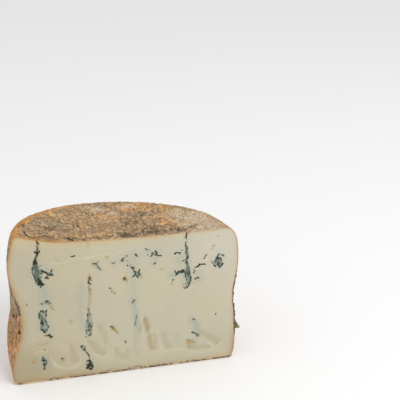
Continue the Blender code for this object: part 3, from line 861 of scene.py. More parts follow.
# broad shallow hollows, whose colour is partly painted shade and partly the olive tint of the deeper paste:
# (depth in millimetres, the points of one stroke)
HOLLOWS = (
    (0.55, ((-43.5, 27, 2.0), (-42.8, 20, 3.8), (-40.5, 13.5, 3.0))),
    (0.55, ((-28.5, 28, 3.0), (-24, 21, 4.2), (-19.5, 17, 3.6))),
    (0.45, ((-20.5, 42, 2.4), (-18.5, 34, 2.6), (-17.5, 27, 2.2))),
    (0.50, ((-9.5, 19, 2.4), (-8.6, 14, 2.8), (-3, 12, 2.6), (0, 17, 2.4))),
    (0.45, ((28.5, 27, 3.0), (29, 21, 3.4), (31, 16.5, 3.0))),
    (0.25, ((38, 24, 3.0), (38.5, 17.5, 3.0))),
    (0.60, ((60, 24, 2.4), (65, 19.5, 4.0), (70.5, 15.5, 4.0))),
    (0.45, ((52, 12.4, 3.0), (58, 11, 3.0), (63, 12, 2.6))),
    (0.40, ((-66, 31.5, 2.0), (-58, 32.5, 2.2))),
    (0.35, ((50, 67, 1.0), (56, 70, 1.2), (60.5, 73, 1.0))),
    (0.30, ((-50, 98.5, 1.6), (-46, 94.5, 2.0))),
)
# low ridges that the knife left, paler from a painted highlight along them
RIDGES = (
    (0.9, ((-53, 97.2, 0.8), (-47, 95.4, 0.9), (-41, 96.6, 0.9), (-34, 98.6, 0.8), (-22, 99.2, 0.7))),
    (0.7, ((-22, 99.2, 0.7), (-8, 99.6, 0.7), (4, 101, 0.7), (14, 102.4, 0.7), (22, 102.8, 0.6))),
    (1.0, ((-58.6, 20, 0.8), (-57, 13.6, 1.2), (-52, 9.8, 1.3), (-45, 8.6, 1.2), (-39, 10.4, 1.1),
           (-36, 14, 0.8))),
    (0.8, ((-45.6, 29, 0.8), (-45.6, 21, 1.0), (-44.2, 14, 0.9))),
    (0.8, ((-31, 30.6, 0.9), (-29, 25, 1.0), (-25, 17.5, 1.1), (-19, 13.4, 1.0), (-15.6, 15, 0.9),
           (-16, 20, 0.8), (-19.6, 29, 0.8))),
    (0.7, ((-11.6, 24, 0.8), (-11.8, 16, 0.9), (-8, 9.6, 0.9), (0, 8.6, 0.8))),
    (0.8, ((1.4, 50, 0.8), (3.4, 36, 0.9), (3, 24, 0.9), (3.4, 11, 0.8))),
    (0.7, ((12.2, 34, 0.7), (13.4, 22, 0.8), (14, 12, 0.8))),
    (0.7, ((25, 30, 0.8), (25.4, 20, 0.9), (26.6, 11, 0.8))),
    (0.9, ((27.4, 11.6, 0.7), (31, 14, 0.9), (38, 13, 0.9), (44, 12.6, 0.8))),
    (1.0, ((45, 11, 0.8), (50, 8.9, 1.0), (57, 7.8, 1.1), (64, 8.8, 1.1), (70, 10.6, 1.0), (75, 15, 0.7))),
    (0.9, ((59.6, 20.4, 0.7), (64, 15.4, 0.9), (69, 11.4, 0.9))),
    (0.6, ((44.6, 48, 0.8), (45.4, 34, 0.9), (45, 22, 0.8))),
    (0.6, ((-70, 24, 0.8), (-66, 26, 0.8), (-58, 25.6, 0.8))),
)
# where the crust's tan seeps into the paste: (x, height, radius, how far it reaches) in millimetres
SEEPS = (
    (-84, 102, 20, 3.4), (-82, 80, 14, 3.6), (-79, 62, 12, 3.2), (-79, 46, 14, 3.6), (-84, 26, 16, 3.6),
    (-87, 10, 12, 3.8), (-72, 2, 20, 4.6), (-44, 2, 20, 4.0), (-20, 2, 16, 2.4), (10, 2, 24, 1.8),
    (40, 2, 22, 1.8), (72, 3, 18, 3.6), (84, 14, 16, 3.2), (84, 42, 14, 2.2), (85, 62, 12, 2.2),
    (87, 90, 16, 2.4), (-72, 118, 14, 2.2), (-45, 114, 14, 2.4), (-27, 111, 12, 2.8), (-8, 111, 14, 2.4),
    (28, 111, 20, 2.4), (60, 111, 18, 2.4),
)
SEEP_LEAST = 0.8  # and how far it reaches elsewhere
# where dark marks are brown: (x, height, half width, half height) in millimetres
BROWN = (
    (-57, 85.3, 2, 2), (-62, 110, 6, 8), (47, 109, 4, 6), (-63.5, 12, 4, 5), (-30, 8, 5, 5),
    (-58.5, 38, 4, 3), (-58, 65, 5, 4), (-27, 79.5, 4, 5), (40, 95, 4, 3), (-21, 92, 5, 5), (3, 90, 3, 3),
    (5, 58, 3, 4), (57, 83, 5, 3),
)
# painted shade: where the paste is darker, on the left and along the base, where less light falls: (x,
# height, half width, half height) in millimetres
SHADE_PATCHES = (
    (-88, 10, 44, 30), (-40, -6, 60, 14), (-92, 50, 22, 40), (-92, 54, 14, 24), (20, -8, 80, 12),
    (92, 4, 12, 22),
)
# and where it is warmer, under the top
WARM = ((-64, 118, 30, 9), (-10, 113, 60, 6))
# and painted light: where the paste is lighter, high on the right, towards the key light
LIT_PATCHES = ((84, 104, 40, 34), (92, 66, 16, 30))

# On the top: across is x and up is the distance behind the cut.
# pale smears of torn crust
SMEARS = (
    (1.0, ((-7.2, -1, 0.8), (-6.8, 6, 0.8), (-6.2, 12, 0.6))),
    (0.8, ((-15.6, -1, 0.5), (-14.4, 7, 0.5))),
    (0.75, ((-31, -1, 0.5), (-29.6, 7, 0.4))),
    (0.6, ((-66, 15, 0.5), (-61, 12, 0.6), (-56.4, 14, 0.6), (-53.4, 19, 0.5))),
)
# dark marks
TOP_MARKS = (
    (0.75, ((-70.6, 14, 0.8), (-69.6, 9, 1.2), (-67.6, 5, 1.2), (-64, 3.0, 1.2), (-61, 3, 0.7))),
    (0.75, ((-42.4, 8.8, 1.3), (-40, 6.5, 1.5), (-37.6, 3.4, 1.5), (-36.4, 1.2, 1.3))),
    (0.75, ((-29.4, 4, 0.9), (-28.4, 1.2, 1.3))),
    (0.7, ((-52.6, 23, 1.6), (-49, 23, 1.6))),
    (0.6, ((-41, 23, 1.6), (-37.4, 23, 1.6))),
    (0.65, ((-30.6, 32.6, 1.6), (-29.4, 26, 1.4))),
    (0.6, ((-28.8, 45.4, 1.6),)),
    (0.6, ((32.8, 32.6, 1.8),)),
    (0.6, ((-8.4, 26.4, 1.8),)),
)
# soft patches on the top: (x, behind the cut, half width, half depth) in millimetres
TOP_ORANGE = (
    (22, 60, 22, 8), (38, 54, 9, 11), (-46, 61, 9, 5), (-49, 48, 6, 6), (-12, 47, 10, 7), (-1, 42, 8, 6),
    (36, 27, 8, 9), (37, 38, 7, 6), (-15, 13, 7, 5), (-33, 10, 7, 5), (-58, 8, 18, 3), (-42, 5, 8, 3),
    (-30, 29, 5, 4), (52, 18, 7, 4), (-7, 27, 4, 3), (22, 70, 8, 4),
)
TOP_GREY = (
    (-64, 38, 10, 16), (-47, 32, 13, 9), (-20, 49, 5, 5), (-10, 66, 9, 6), (24, 45, 8, 5),
    (-60, 18, 6, 5), (-28, 69, 8, 5),
)
TOP_DARK = (
    (-3, 9, 8, 5), (-55, 10, 9, 4), (22, 14, 13, 11), (5, 5, 7, 6), (9, 31, 8, 8), (-52, 26, 7, 3),
    (-38, 6, 3, 5), (-69, 23, 2.5, 5), (41, 9, 8, 6), (33, 33, 4, 3), (20, 46, 6, 4), (-31, 34, 4, 3),
    (53, 10, 4, 3),
)
TOP_PALE = (
    (62, 2, 16, 6), (60, 26, 15, 15), (66, 11, 13, 10), (48, 39, 9, 8), (50, 15, 7, 6), (-2, 52, 5, 4),
    (12, 63, 6, 3), (-14, 60, 8, 4),
)

# On the side near the left end of the cut: across is the distance behind the cut and up the height.
SIDE_DARK = (
    (0.8, ((0.6, 73, 0.4), (1.2, 68, 0.8), (1.2, 65, 1.1), (0.8, 61, 0.8), (0.6, 57, 0.5))),
    (1.0, ((7.4, 55.0, 1.1), (7.4, 54.0, 1.1))),
    (1.0, ((4.2, 55.6, 0.9), (4.2, 54.6, 0.9))),
    (1.0, ((1.2, 44.4, 0.9), (1.2, 42.8, 1.1))),
    (0.8, ((14, 46, 1.0),)),
    (0.7, ((0.5, 82, 1.0), (3, 78, 2.0), (5, 73, 2.0))),
    (0.6, ((1.6, 52, 0.7), (1.8, 47, 0.7))),
    (0.6, ((16, 56, 1.5), (18, 49, 1.5))),
    (0.42, ((3, 76, 5), (4, 68, 7), (5, 61, 6))),
)
SIDE_GREY = (
    (0.9, ((5, 68, 4), (6, 60, 4), (6.5, 52, 2.0), (7, 44, 1.5), (8, 36, 1.4), (8.5, 28, 1.2))),
    (0.8, ((12, 72, 6), (13, 64, 5))),
)


# ---- paints ----
# The numbers of a lay are the value where a colour starts, the value where it is full and how much of
# it there is then. Noise lies at about 0.25 to 0.75, with its middle at 0.5.


def tone(red, green, blue):
    """A screen colour (0 to 255) as the linear colour that a shader takes."""
    def linear(value):
        share = value / 255.0
        return share / 12.92 if share <= 0.04045 else ((share + 0.055) / 1.055) ** 2.4

    return (linear(red), linear(green), linear(blue), 1.0)


class Paint:
    """A material's nodes. Each method adds one step and returns its output socket."""

    def __init__(self, name):
        self.material = bpy.data.materials.new(name)
        self.material.use_nodes = True
        self.tree = self.material.node_tree
        self.surface = self.tree.nodes["Principled BSDF"]
        self.where = self.tree.nodes.new("ShaderNodeTexCoord").outputs["Object"]

    def put(self, socket, value):
        """A link into the socket, or a plain value on it."""
        if isinstance(value, bpy.types.NodeSocket):
            self.tree.links.new(value, socket)
        else:
            socket.default_value = value

    def field(self, name):
        """A field of the mesh's points."""
        node = self.tree.nodes.new("ShaderNodeAttribute")
        node.attribute_name = name
        return node.outputs["Fac"]

    def noise(self, size, detail=2.0, stretch=(1, 1, 1), shift=0.0, rough=0.5):
        """Noise whose lumps are that many metres apart. shift picks another part of it."""
        place = self.tree.nodes.new("ShaderNodeMapping")
        place.inputs["Scale"].default_value = tuple(1.0 / (size * k) for k in stretch)
        place.inputs["Location"].default_value = (shift, 2.3 * shift, 1.7 * shift)
        self.put(place.inputs["Vector"], self.where)
        node = self.tree.nodes.new("ShaderNodeTexNoise")
        node.inputs["Scale"].default_value = 1.0
        node.inputs["Detail"].default_value = detail
        node.inputs["Roughness"].default_value = rough
        self.put(node.inputs["Vector"], place.outputs["Vector"])
        return node.outputs["Fac"]

    def sum(self, first, second, operation="ADD"):
        """Two values added, or joined by another operation."""
        node = self.tree.nodes.new("ShaderNodeMath")
        node.operation = operation
        self.put(node.inputs[0], first)
        self.put(node.inputs[1], second)
        return node.outputs[0]

    def times(self, first, second):
        """Two values multiplied."""
        return self.sum(first, second, "MULTIPLY")

    def swing(self, noise, strength):
        """Noise with its middle at 0."""
        return self.times(self.sum(noise, -0.5), strength)

    def total(self, *parts):
        """The sum of several values, each times its own number."""
        total = self.times(*parts[0])
        for part in parts[1:]:
            total = self.sum(total, self.times(*part))
        return total

    def ramp(self, value, start, end, least=0.0, most=1.0):
        """A smooth step from least at start to most at end."""
        node = self.tree.nodes.new("ShaderNodeMapRange")
        node.interpolation_type = "SMOOTHSTEP"
        self.put(node.inputs["Value"], value)
        for socket, number in (("From Min", start), ("From Max", end), ("To Min", least), ("To Max", most)):
            self.put(node.inputs[socket], number)
        return node.outputs["Result"]

    def mix(self, share, first, second, blend="MIX"):
        """The first colour where the share is 0 and the second, or their blend, where it is 1."""
        node = self.tree.nodes.new("ShaderNodeMix")
        node.data_type = "RGBA"
        node.blend_type = blend
        self.put(node.inputs["Factor"], share)
        colours = [socket for socket in node.inputs if socket.type == "RGBA"]
        self.put(colours[0], first)
        self.put(colours[1], second)
        return [socket for socket in node.outputs if socket.type == "RGBA"][0]

    def lay(self, under, over, value, start, end, most=1.0, blend="MIX"):
        """One colour laid over another: none of it up to start, and a share of most from end on."""
        return self.mix(self.ramp(value, start, end, 0.0, most), under, over, blend)

    def finish(self, colour, roughness, height, height_size, specular):
        """Joins colour, roughness and small relief to the surface, and gives the material."""
        self.put(self.surface.inputs["Base Color"], colour)
        self.put(self.surface.inputs["Roughness"], roughness)
        self.surface.inputs["Specular IOR Level"].default_value = specular
        bump = self.tree.nodes.new("ShaderNodeBump")
        bump.inputs["Strength"].default_value = 1.0
        bump.inputs["Distance"].default_value = height_size
        self.put(bump.inputs["Height"], height)
        self.put(self.surface.inputs["Normal"], bump.outputs["Normal"])
        return self.material


CREAM = tone(190, 182, 156)
CREAM_COOL = tone(186, 180, 158)
CREAM_LIGHT = tone(205, 199, 174)
WARM_TONE = tone(200, 184, 140)
# the colour of the paste's painted shade
SHADE_TONE = tone(168, 157, 127)
BLOOM_TONE = tone(154, 163, 150)
# the colour of the paste's painted light
LIT_TONE = tone(198, 193, 176)
POCKET_TONE = tone(160, 146, 105)
RUST_TONE = tone(170, 141, 114)
HOLE_TONE = tone(176, 154, 100)
HOLE_DARK = tone(88, 70, 34)
CRUMB_TONE = tone(92, 76, 58)
TEAL_TONE = tone(66, 86, 75)
TEAL_LIGHT = tone(117, 133, 118)
DARK_TONE = tone(36, 46, 38)
DARK_BROWN = tone(50, 44, 28)
DARKEST = tone(24, 24, 15)
PALE_TONE = tone(163, 166, 152)
# What the paste's colour is multiplied by next to the rind.
GLOW_FAR = (1.04, 0.885, 0.76, 1.0)
GLOW_NEAR = (0.93, 0.80, 0.68, 1.0)


def paste_paint():
    """The cut paste, with its veins."""
    p = Paint("paste")
    cloud = p.noise(26 * MM, 2.0, (1.0, 1.0, 1.4), 3.1)
    grain = p.noise(1.1 * MM, 2.0, shift=5.3)
    speck = p.noise(0.75 * MM, 2.0, shift=7.7)
    broad = p.noise(3.2 * MM, 2.0, shift=1.9)
    ragged = p.sum(p.swing(speck, 1.2), p.swing(broad, 0.8))

    # plain paste, and the broad changes in it
    colour = p.mix(p.ramp(cloud, 0.38, 0.62), CREAM, CREAM_COOL)
    colour = p.mix(p.times(p.ramp(grain, 0.5, 0.72), 0.25), colour, CREAM_LIGHT)
    # painted shade, darker on the left and along the base
    colour = p.lay(colour, SHADE_TONE, p.field("painted_shade"), 0.0, 1.0)
    bloom = p.sum(p.field("bloom"), p.swing(broad, 0.3))
    colour = p.lay(colour, BLOOM_TONE, bloom, 0.05, 0.85, 0.64)
    # partly painted shade in the hollows, partly their olive tint
    colour = p.lay(colour, POCKET_TONE, p.field("hollow"), 0.0, 1.0, 0.38)
    colour = p.lay(colour, WARM_TONE, p.field("warm"), 0.0, 1.0, 0.5)
    # painted light, high on the right
    colour = p.lay(colour, LIT_TONE, p.field("light"), 0.0, 1.0, 0.7)
    seep = p.sum(p.field("seep"), p.swing(broad, 0.3))
    colour = p.lay(colour, GLOW_FAR, seep, 0.05, 0.75, 0.9, "MULTIPLY")
    colour = p.lay(colour, GLOW_NEAR, seep, 0.45, 1.05, 0.9, "MULTIPLY")
    pocket = p.sum(p.field("pocket"), p.swing(broad, 0.5))
    colour = p.lay(colour, POCKET_TONE, pocket, 0.2, 1.1, 0.96)
    # painted highlight along the ridges
    colour = p.lay(colour, CREAM_LIGHT, p.field("ridge"), 0.0, 1.0, 0.55)

    # the veins, from their stain to their darkest specks
    colour = p.lay(colour, RUST_TONE, p.sum(p.field("rust"), ragged), 0.2, 0.75, 0.7)
    teal = p.ramp(p.sum(p.field("teal"), ragged), 0.38, 0.62, 0.0, 0.92)
    teal_colour = p.mix(p.ramp(speck, 0.4, 0.66), TEAL_TONE, TEAL_LIGHT)
    colour = p.mix(teal, colour, teal_colour)
    colour = p.lay(colour, PALE_TONE, p.sum(p.field("pale"), ragged), 0.35, 0.7, 0.8)
    dark = p.ramp(p.sum(p.field("dark"), p.times(ragged, 0.9)), 0.37, 0.60, 0.0, 0.94)
    brownish = p.ramp(p.sum(p.times(p.field("brown"), 0.3), broad), 0.52, 0.7)
    colour = p.mix(dark, colour, p.mix(brownish, DARK_TONE, DARK_BROWN))
    deep = p.sum(p.field("dark"), p.times(ragged, 0.6))
    colour = p.lay(colour, DARKEST, deep, 0.62, 0.92, 0.9)

    # small holes and crumbs of crust
    hole = p.sum(p.field("hole"), p.times(ragged, 0.4))
    colour = p.lay(colour, HOLE_TONE, hole, 0.36, 0.52, 0.9)
    colour = p.lay(colour, HOLE_DARK, hole, 0.56, 0.78, 0.9)
    crumb = p.sum(p.times(p.field("crumb"), 0.31), p.total((broad, 0.4), (grain, 0.6)))
    colour = p.lay(colour, CRUMB_TONE, crumb, 0.72, 0.80, 0.9)

    fine = p.total((grain, 0.6), (speck, 0.4))
    return p.finish(colour, p.ramp(grain, 0.3, 0.7, 0.50, 0.66), fine, 0.16 * MM, 0.35)


RIND_TAN = tone(175, 144, 108)
RIND_PINK = tone(185, 155, 122)
RIND_ORANGE = tone(203, 159, 109)
RIND_GREY = tone(158, 139, 109)
RIND_PALE = tone(205, 185, 157)
RIND_DARK = tone(124, 112, 86)
RIND_BLACK = tone(60, 55, 41)
RIND_GOLD = tone(203, 150, 84)
RIND_SIDE = tone(199, 142, 92)
RIM_TONE = tone(200, 165, 128)
RIM_LOW = tone(186, 152, 114)
RIM_BASE = tone(224, 200, 170)
RIM_PALE = tone(217, 190, 153)
RIM_GOLD = tone(194, 145, 86)
RIM_DARK = tone(74, 60, 44)
SMEAR_TONE = tone(212, 192, 160)
# What the rind's colour is multiplied by where it is mottled.
DARKER = (0.49, 0.465, 0.42, 1.0)
LIGHTER = (1.37, 1.38, 1.41, 1.0)


def rind_paint():
    """The rind, dry and mottled."""
    p = Paint("rind")
    side = p.field("side")
    top = p.sum(1.0, side, "SUBTRACT")

    def both(size, detail, shift, rough=0.65):
        """Noise drawn out across the top and down the side."""
        lying = p.noise(size, detail, (1.1, 1.7, 1.0), shift, rough)
        standing = p.noise(size, detail, (0.9, 0.9, 2.4), shift, rough)
        return p.sum(p.times(lying, top), p.times(standing, side))

    streak = both(4.6 * MM, 3.0, 2.2)
    streak_two = both(3.8 * MM, 3.0, 12.6)
    spot = both(2.4 * MM, 3.0, 4.9)
    spot_two = both(2.1 * MM, 3.0, 15.2)
    fleck = both(1.2 * MM, 2.0, 8.3)
    patch = p.noise(12 * MM, 3.0, shift=6.1)

    # the large patches of colour
    colour = p.mix(p.ramp(spot_two, 0.44, 0.56), RIND_TAN, RIND_PINK)
    colour = p.mix(p.times(p.field("tan"), 0.85), colour, RIND_SIDE)
    orange = p.total((p.field("orange"), 0.23), (patch, 0.4), (streak, 0.35), (spot, 0.25))
    colour = p.lay(colour, RIND_ORANGE, orange, 0.535, 0.71, 0.9)
    grey = p.total((p.field("grey"), 0.18), (streak_two, 0.55), (spot_two, 0.45))
    colour = p.lay(colour, RIND_GREY, grey, 0.53, 0.66, 0.9)
    pale = p.total((p.field("pale"), 0.22), (streak, 0.3), (spot_two, 0.4), (fleck, 0.3))
    colour = p.lay(colour, RIND_PALE, pale, 0.53, 0.70, 0.9)
    gold = p.total((p.field("gold"), 0.7), (spot, 0.45), (streak, 0.35))
    colour = p.lay(colour, RIND_GOLD, gold, 0.6, 1.1, 0.9)

    # the mottle, which is weaker where the rind is gold, pale, orange or far back on the side
    mottle = p.total((spot, 0.55), (fleck, 0.45))
    calm = p.sum(p.times(p.field("gold"), 0.3), p.times(p.field("pale"), 0.42))
    calm = p.sum(calm, p.sum(p.times(p.field("orange"), 0.1), p.times(p.field("quiet"), 0.35)))
    tint = p.mix(p.ramp(mottle, 0.43, 0.585), DARKER, LIGHTER)
    colour = p.mix(p.sum(0.8, calm, "SUBTRACT"), colour, tint, "MULTIPLY")

    # dark patches, specks, painted shade in the pits, marks and smears
    shade = p.total((p.field("dark"), 0.09), (streak_two, 0.35), (spot_two, 0.65))
    colour = p.lay(colour, RIND_DARK, shade, 0.56, 0.66, 0.85)
    black = p.total((p.field("dark"), 0.09), (spot_two, 0.45), (fleck, 0.55))
    black = p.sum(black, p.times(p.field("quiet"), 0.03), "SUBTRACT")
    colour = p.lay(colour, RIND_BLACK, black, 0.57, 0.62, 0.85)
    # painted shade where the rind lies deep
    colour = p.lay(colour, RIND_DARK, p.field("pit_shade"), 0.2, 1.0, 0.45)
    black_mark = p.total((p.field("mark"), 1.0), (fleck, 0.8))
    colour = p.lay(colour, RIND_BLACK, black_mark, 0.8, 1.0, 0.9)
    colour = p.lay(colour, DARKEST, black_mark, 1.0, 1.25, 0.8)
    smear = p.total((p.field("smear"), 1.0), (fleck, 0.8))
    colour = p.lay(colour, SMEAR_TONE, smear, 0.75, 1.0, 0.65)

    # the crust's edge at the cut
    edge = p.mix(side, RIM_PALE, p.mix(p.field("tan"), RIM_TONE, RIM_LOW))
    edge = p.mix(p.field("foot"), edge, RIM_BASE)
    edge = p.lay(edge, RIM_GOLD, p.field("gold"), 0.2, 0.8)
    crumb = p.total((p.field("crumb"), 0.25), (spot, 0.4), (fleck, 0.6))
    edge = p.lay(edge, RIM_DARK, crumb, 0.66, 0.72, 0.95)
    colour = p.mix(p.field("rim"), colour, edge)

    fine = p.total((spot, 0.6), (fleck, 0.4))
    return p.finish(colour, p.ramp(spot, 0.3, 0.7, 0.74, 0.92), fine, 0.8 * MM, 0.22)


# ---- the pieces of rind ----

DISC_STEPS, SIDE_STEPS = (6, 7), (8, 6)
DISC_CORNERS = [DISC_ROWS, DISC_ROWS + DISC_COLUMNS]  # of a half disc's grid, counted along its rim
RIM_EASE = 0.8  # how much of the rim's colour there is on the outermost of its rows


def rind_fields(points, depth, way, rim):
    """The colour fields of rind points. rim is 1 where the crust's edge faces the cut.

    Here lengths are in millimetres, but for the sizes of lumps and the ways."""
    flat = points.reshape(-1, 3)
    across, behind = flat[:, 0] / MM, (flat[:, 1] - CUT_Y) / MM
    height = flat[:, 2] / MM
    ways = way.ravel()
    side = sideness(ways)
    top = (1 - smooth(ways, Q_SHOULDER, Q_SIDE + 8 * MM)) * (ways < Q_BASE)
    warp_x = across + 3.0 * lumps(flat, 9 * MM, 51)
    warp_y = behind + 2.0 * lumps(flat, 7 * MM, 53)

    # The side goes from orange-tan below to grey-brown above, more gradually further back.
    left = (across < -60) & (side > 0.2)
    side_dark = stroke_field(behind, height, SIDE_DARK) * left
    side_grey = stroke_field(behind, height, SIDE_GREY) * left
    loose = high_lumps(flat, 24 * MM, 57)
    far = smooth(behind, 12, 45)
    wander = (7 + 33 * far) * lumps(flat, 26 * MM, 58, 4)
    up_high = smooth(height + wander, 42 - 14 * far, 84 + 14 * far)
    right_end = (smooth(across, 76, 82) * smooth(behind, 7, 1)
                 * smooth(height, 10, 26) * smooth(height, 80, 64))

    # A strip along the front edge of the top is darker, and its right half is pale as well.
    front = smooth(behind, 11, 4) * smooth(behind, 1.2, 4.0) * smooth(across, 58, 44) * top
    front *= smooth(across, -70, -58) * (0.85 + 0.15 * smooth(across, -30, -8))
    dark = patches(warp_x, warp_y, TOP_DARK) * top + 0.6 * front
    pale = patches(warp_x, warp_y, TOP_PALE) * top + side * 0.25 * up_high
    pale += 0.25 * side_grey * smooth(height, 56, 62)

    # The shoulder is golden, most of all on the left.
    edge_way = np.abs(ways - (Q_SHOULDER + 0.15 * SHOULDER_LENGTH)) + 2.0 * MM * lumps(flat, 8 * MM, 59)
    gold_right = 0.3 * smooth(across, 56, 70) * smooth(behind, 50, 30)
    gold = smooth(edge_way, 8 * MM, 2 * MM) * (0.25 + 0.75 * smooth(across, 10, -50) + gold_right)
    right_edge = smooth(across, 70, 82) * smooth(height, 12, 20) * smooth(height, 82, 70)
    right_edge *= np.clip(0.75 + 0.9 * lumps(flat, 3.2 * MM, 55, 2), 0, 1)
    crumb = stroke_field(across, height, CRUMBS) + 1.1 * right_edge + 0.2 * smooth(height, 1.5, 0.3)
    return {
        "side": side,
        "tan": side * (1 - smooth(height + wander, 38 - 14 * far, 80 + 14 * far)),
        "orange": patches(warp_x, warp_y, TOP_ORANGE) * top + (0.6 - 0.5 * up_high) * side * loose,
        "grey": patches(warp_x, warp_y, TOP_GREY) * top + side * (0.10 + 0.9 * up_high) + 0.9 * side_grey,
        "dark": dark + side * 0.18 * (1 - loose) + 1.3 * right_end,
        "pale": pale + 0.55 * front * smooth(across, -8, 8),
        "gold": np.maximum(gold, 0.75 * smooth(behind, 7, 1) * smooth(across, -22, -50) * top),
        "smear": stroke_field(warp_x, behind, SMEARS) * top,
        "mark": np.maximum(side_dark, stroke_field(across, behind, TOP_MARKS) * top),
        # painted shade: darker where the rind lies deep in its pits
        "pit_shade": smooth(depth.ravel(), 0.75 * MM, 1.5 * MM),
        "rim": rim.ravel(),
        "crumb": np.clip(crumb, 0, 1),
        "foot": smooth(height, 3.5, 1.5),
        "quiet": side * smooth(behind, 14, 40),
    }


def rim_values(shape, rim_axis):
    """1 on the rows of the crust's edge, easing to 0 on the first row of skin."""
    values = np.zeros(shape)
    for k in range(RIM_ROWS):
        value = 1.0 if k < RIM_ROWS - 1 else RIM_EASE
        if rim_axis == 0:
            values[[k, -1 - k]] = value
        else:
            values[:, k] = value
    return values


def join_normals(disc, sides, row):
    """Gives a half disc and the side the same normals where they meet: the side's own at the corners of the
    disc's grid, and the average elsewhere."""
    skin_part = disc[:, RIM_ROWS:]
    rim = disc_border(numbered(skin_part.shape))
    flat = skin_part.reshape(-1, 3).copy()
    side = sides[RIM_ROWS:-RIM_ROWS, row]
    both = flat[rim] + side
    both[DISC_CORNERS] = side[DISC_CORNERS]
    both = unit(both)
    flat[rim] = both
    disc[:, RIM_ROWS:] = flat.reshape(skin_part.shape)
    sides[RIM_ROWS:-RIM_ROWS, row] = both


def rind_piece(name, parts, normals, steps, flip, rim_axis):
    """A closed piece of rind. The crust's edge is its first columns, or its first and last rows."""
    front, depth, way = parts
    back = inner_grid(front, normals, steps, rim_axis)
    fields = rind_fields(front, depth, way, rim_values(way.shape, rim_axis))
    closed_piece(name, front, back, steps, flip, fields, rind_material, normals)


rind_material = rind_paint()
top_grid = disc_grid(Q_SIDE, 0.0)
top_parts = disc_front(*top_grid)
base_parts = disc_front(*disc_grid(Q_FOOT, Q_END))
side_parts = side_front(disc_border(top_grid[0]))
top_normals = grid_normals(top_parts[0], False)
base_normals = grid_normals(base_parts[0], True)
side_normals = grid_normals(side_parts[0], True)
join_normals(top_normals, side_normals, 0)
join_normals(base_normals, side_normals, -1)

rind_piece("rind_top", top_parts, top_normals, DISC_STEPS, False, 1)
rind_piece("rind_base", base_parts, base_normals, DISC_STEPS, True, 1)
rind_piece("rind_side", side_parts, side_normals, SIDE_STEPS, True, 0)


# ---- the cut face ----

FACE_COLUMNS, FACE_ROWS = 370, 240
FACE_STEPS = (10, 8)
FACE_INSET = 0.3 * MM
FACE_BACK_INSET = 5.0 * MM
FACE_BACK = 6.5 * MM
FACE_REST = 0.28 * MM  # how far the paste lies behind the cut where nothing else is said
FACE_DIVE = 1.2 * MM  # how far it goes under the crust's edge
DIVE_FULL, DIVE_LENGTH = 0.45 * MM, 0.6 * MM  # how far under the edge it is full, and over what length
# The paste is uneven: (how deep, how far apart its lumps are, seed).
FACE_LUMPS = ((0.16 * MM, 24 * MM, 71), (0.07 * MM, 6 * MM, 73), (0.03 * MM, 1.6 * MM, 75))
MARK_WARP, SOFT_WARP = 0.5, 1.2  # how far marks and soft patches stray from their strokes, in millimetres
HOLLOW_FULL = 0.6  # a hollow this deep has all of its painted shade and tint, in millimetres
SEEP_START = 0.4  # the tan is full this close to the rind, in millimetres
SHADE_LEFT = 0.36  # how much painted shade darkens the paste on the left, where no patch says more
WAY_TOP_CORNER = Q_SHOULDER + 0.5 * SHOULDER_LENGTH
WAY_FOOT_CORNER = Q_FOOT + 0.5 * FOOT_LENGTH


def face_grid(columns, rows, inset):
    """Points (x, z) spread over the cut, between its four edges."""
    s, t = np.linspace(0, 1, columns + 1), np.linspace(0, 1, rows + 1)

    def edge(side, way):
        spot, inward = outline(side, way)
        return spot + inward * inset

    across = 2 * s - 1
    side = np.where(across < 0, -1.0, 1.0)
    top = edge(side, np.abs(across) * WAY_TOP_CORNER)
    base = edge(side, Q_END - np.abs(across) * (Q_END - WAY_FOOT_CORNER))
    down = WAY_FOOT_CORNER + (WAY_TOP_CORNER - WAY_FOOT_CORNER) * t
    left, right = edge(np.full_like(t, -1.0), down), edge(np.full_like(t, 1.0), down)
    s, t = s[:, None, None], t[None, :, None]
    ruled = base[:, None] * (1 - t) + top[:, None] * t + left[None] * (1 - s) + right[None] * s
    corners = (base[0] * (1 - s) + base[-1] * s) * (1 - t) + (top[0] * (1 - s) + top[-1] * s) * t
    return ruled - corners


def edge_distance(flat):
    """How far each point of the cut is from the outline of the rind."""
    ways = np.arange(0.0, Q_END, 0.25 * MM)
    spots = np.concatenate([outline(np.full_like(ways, side), ways)[0] for side in (-1.0, 1.0)])
    tree = KDTree(len(spots))
    for k, (x, z) in enumerate(spots):
        tree.insert((x, 0.0, z), k)
    tree.balance()
    return np.array([tree.find((x, 0.0, z))[2] for x, z in flat])


face = face_grid(FACE_COLUMNS, FACE_ROWS, FACE_INSET)
face_flat = face.reshape(-1, 2)
face_points = np.stack([face_flat[:, 0], np.full(len(face_flat), CUT_Y), face_flat[:, 1]], -1)
face_x, face_z = face_flat[:, 0] / MM, face_flat[:, 1] / MM
mark_x = face_x + MARK_WARP * lumps(face_points, 2.4 * MM, 61, 2)
mark_z = face_z + MARK_WARP * lumps(face_points, 2.4 * MM, 63, 2)
soft_x = face_x + SOFT_WARP * lumps(face_points, 8 * MM, 65, 2)
soft_z = face_z + SOFT_WARP * lumps(face_points, 8 * MM, 67, 2)
to_edge = edge_distance(face_flat)

strokes = {"teal": TEAL, "dark": DARK, "pale": PALE, "hole": HOLES, "rust": RUST, "pocket": POCKETS}
face_fields = {name: stroke_field(mark_x, mark_z, lines) for name, lines in strokes.items()}
spots = {"painted_shade": SHADE_PATCHES, "warm": WARM, "light": LIT_PATCHES, "brown": BROWN}
face_fields |= {name: patches(face_x, face_z, places) for name, places in spots.items()}
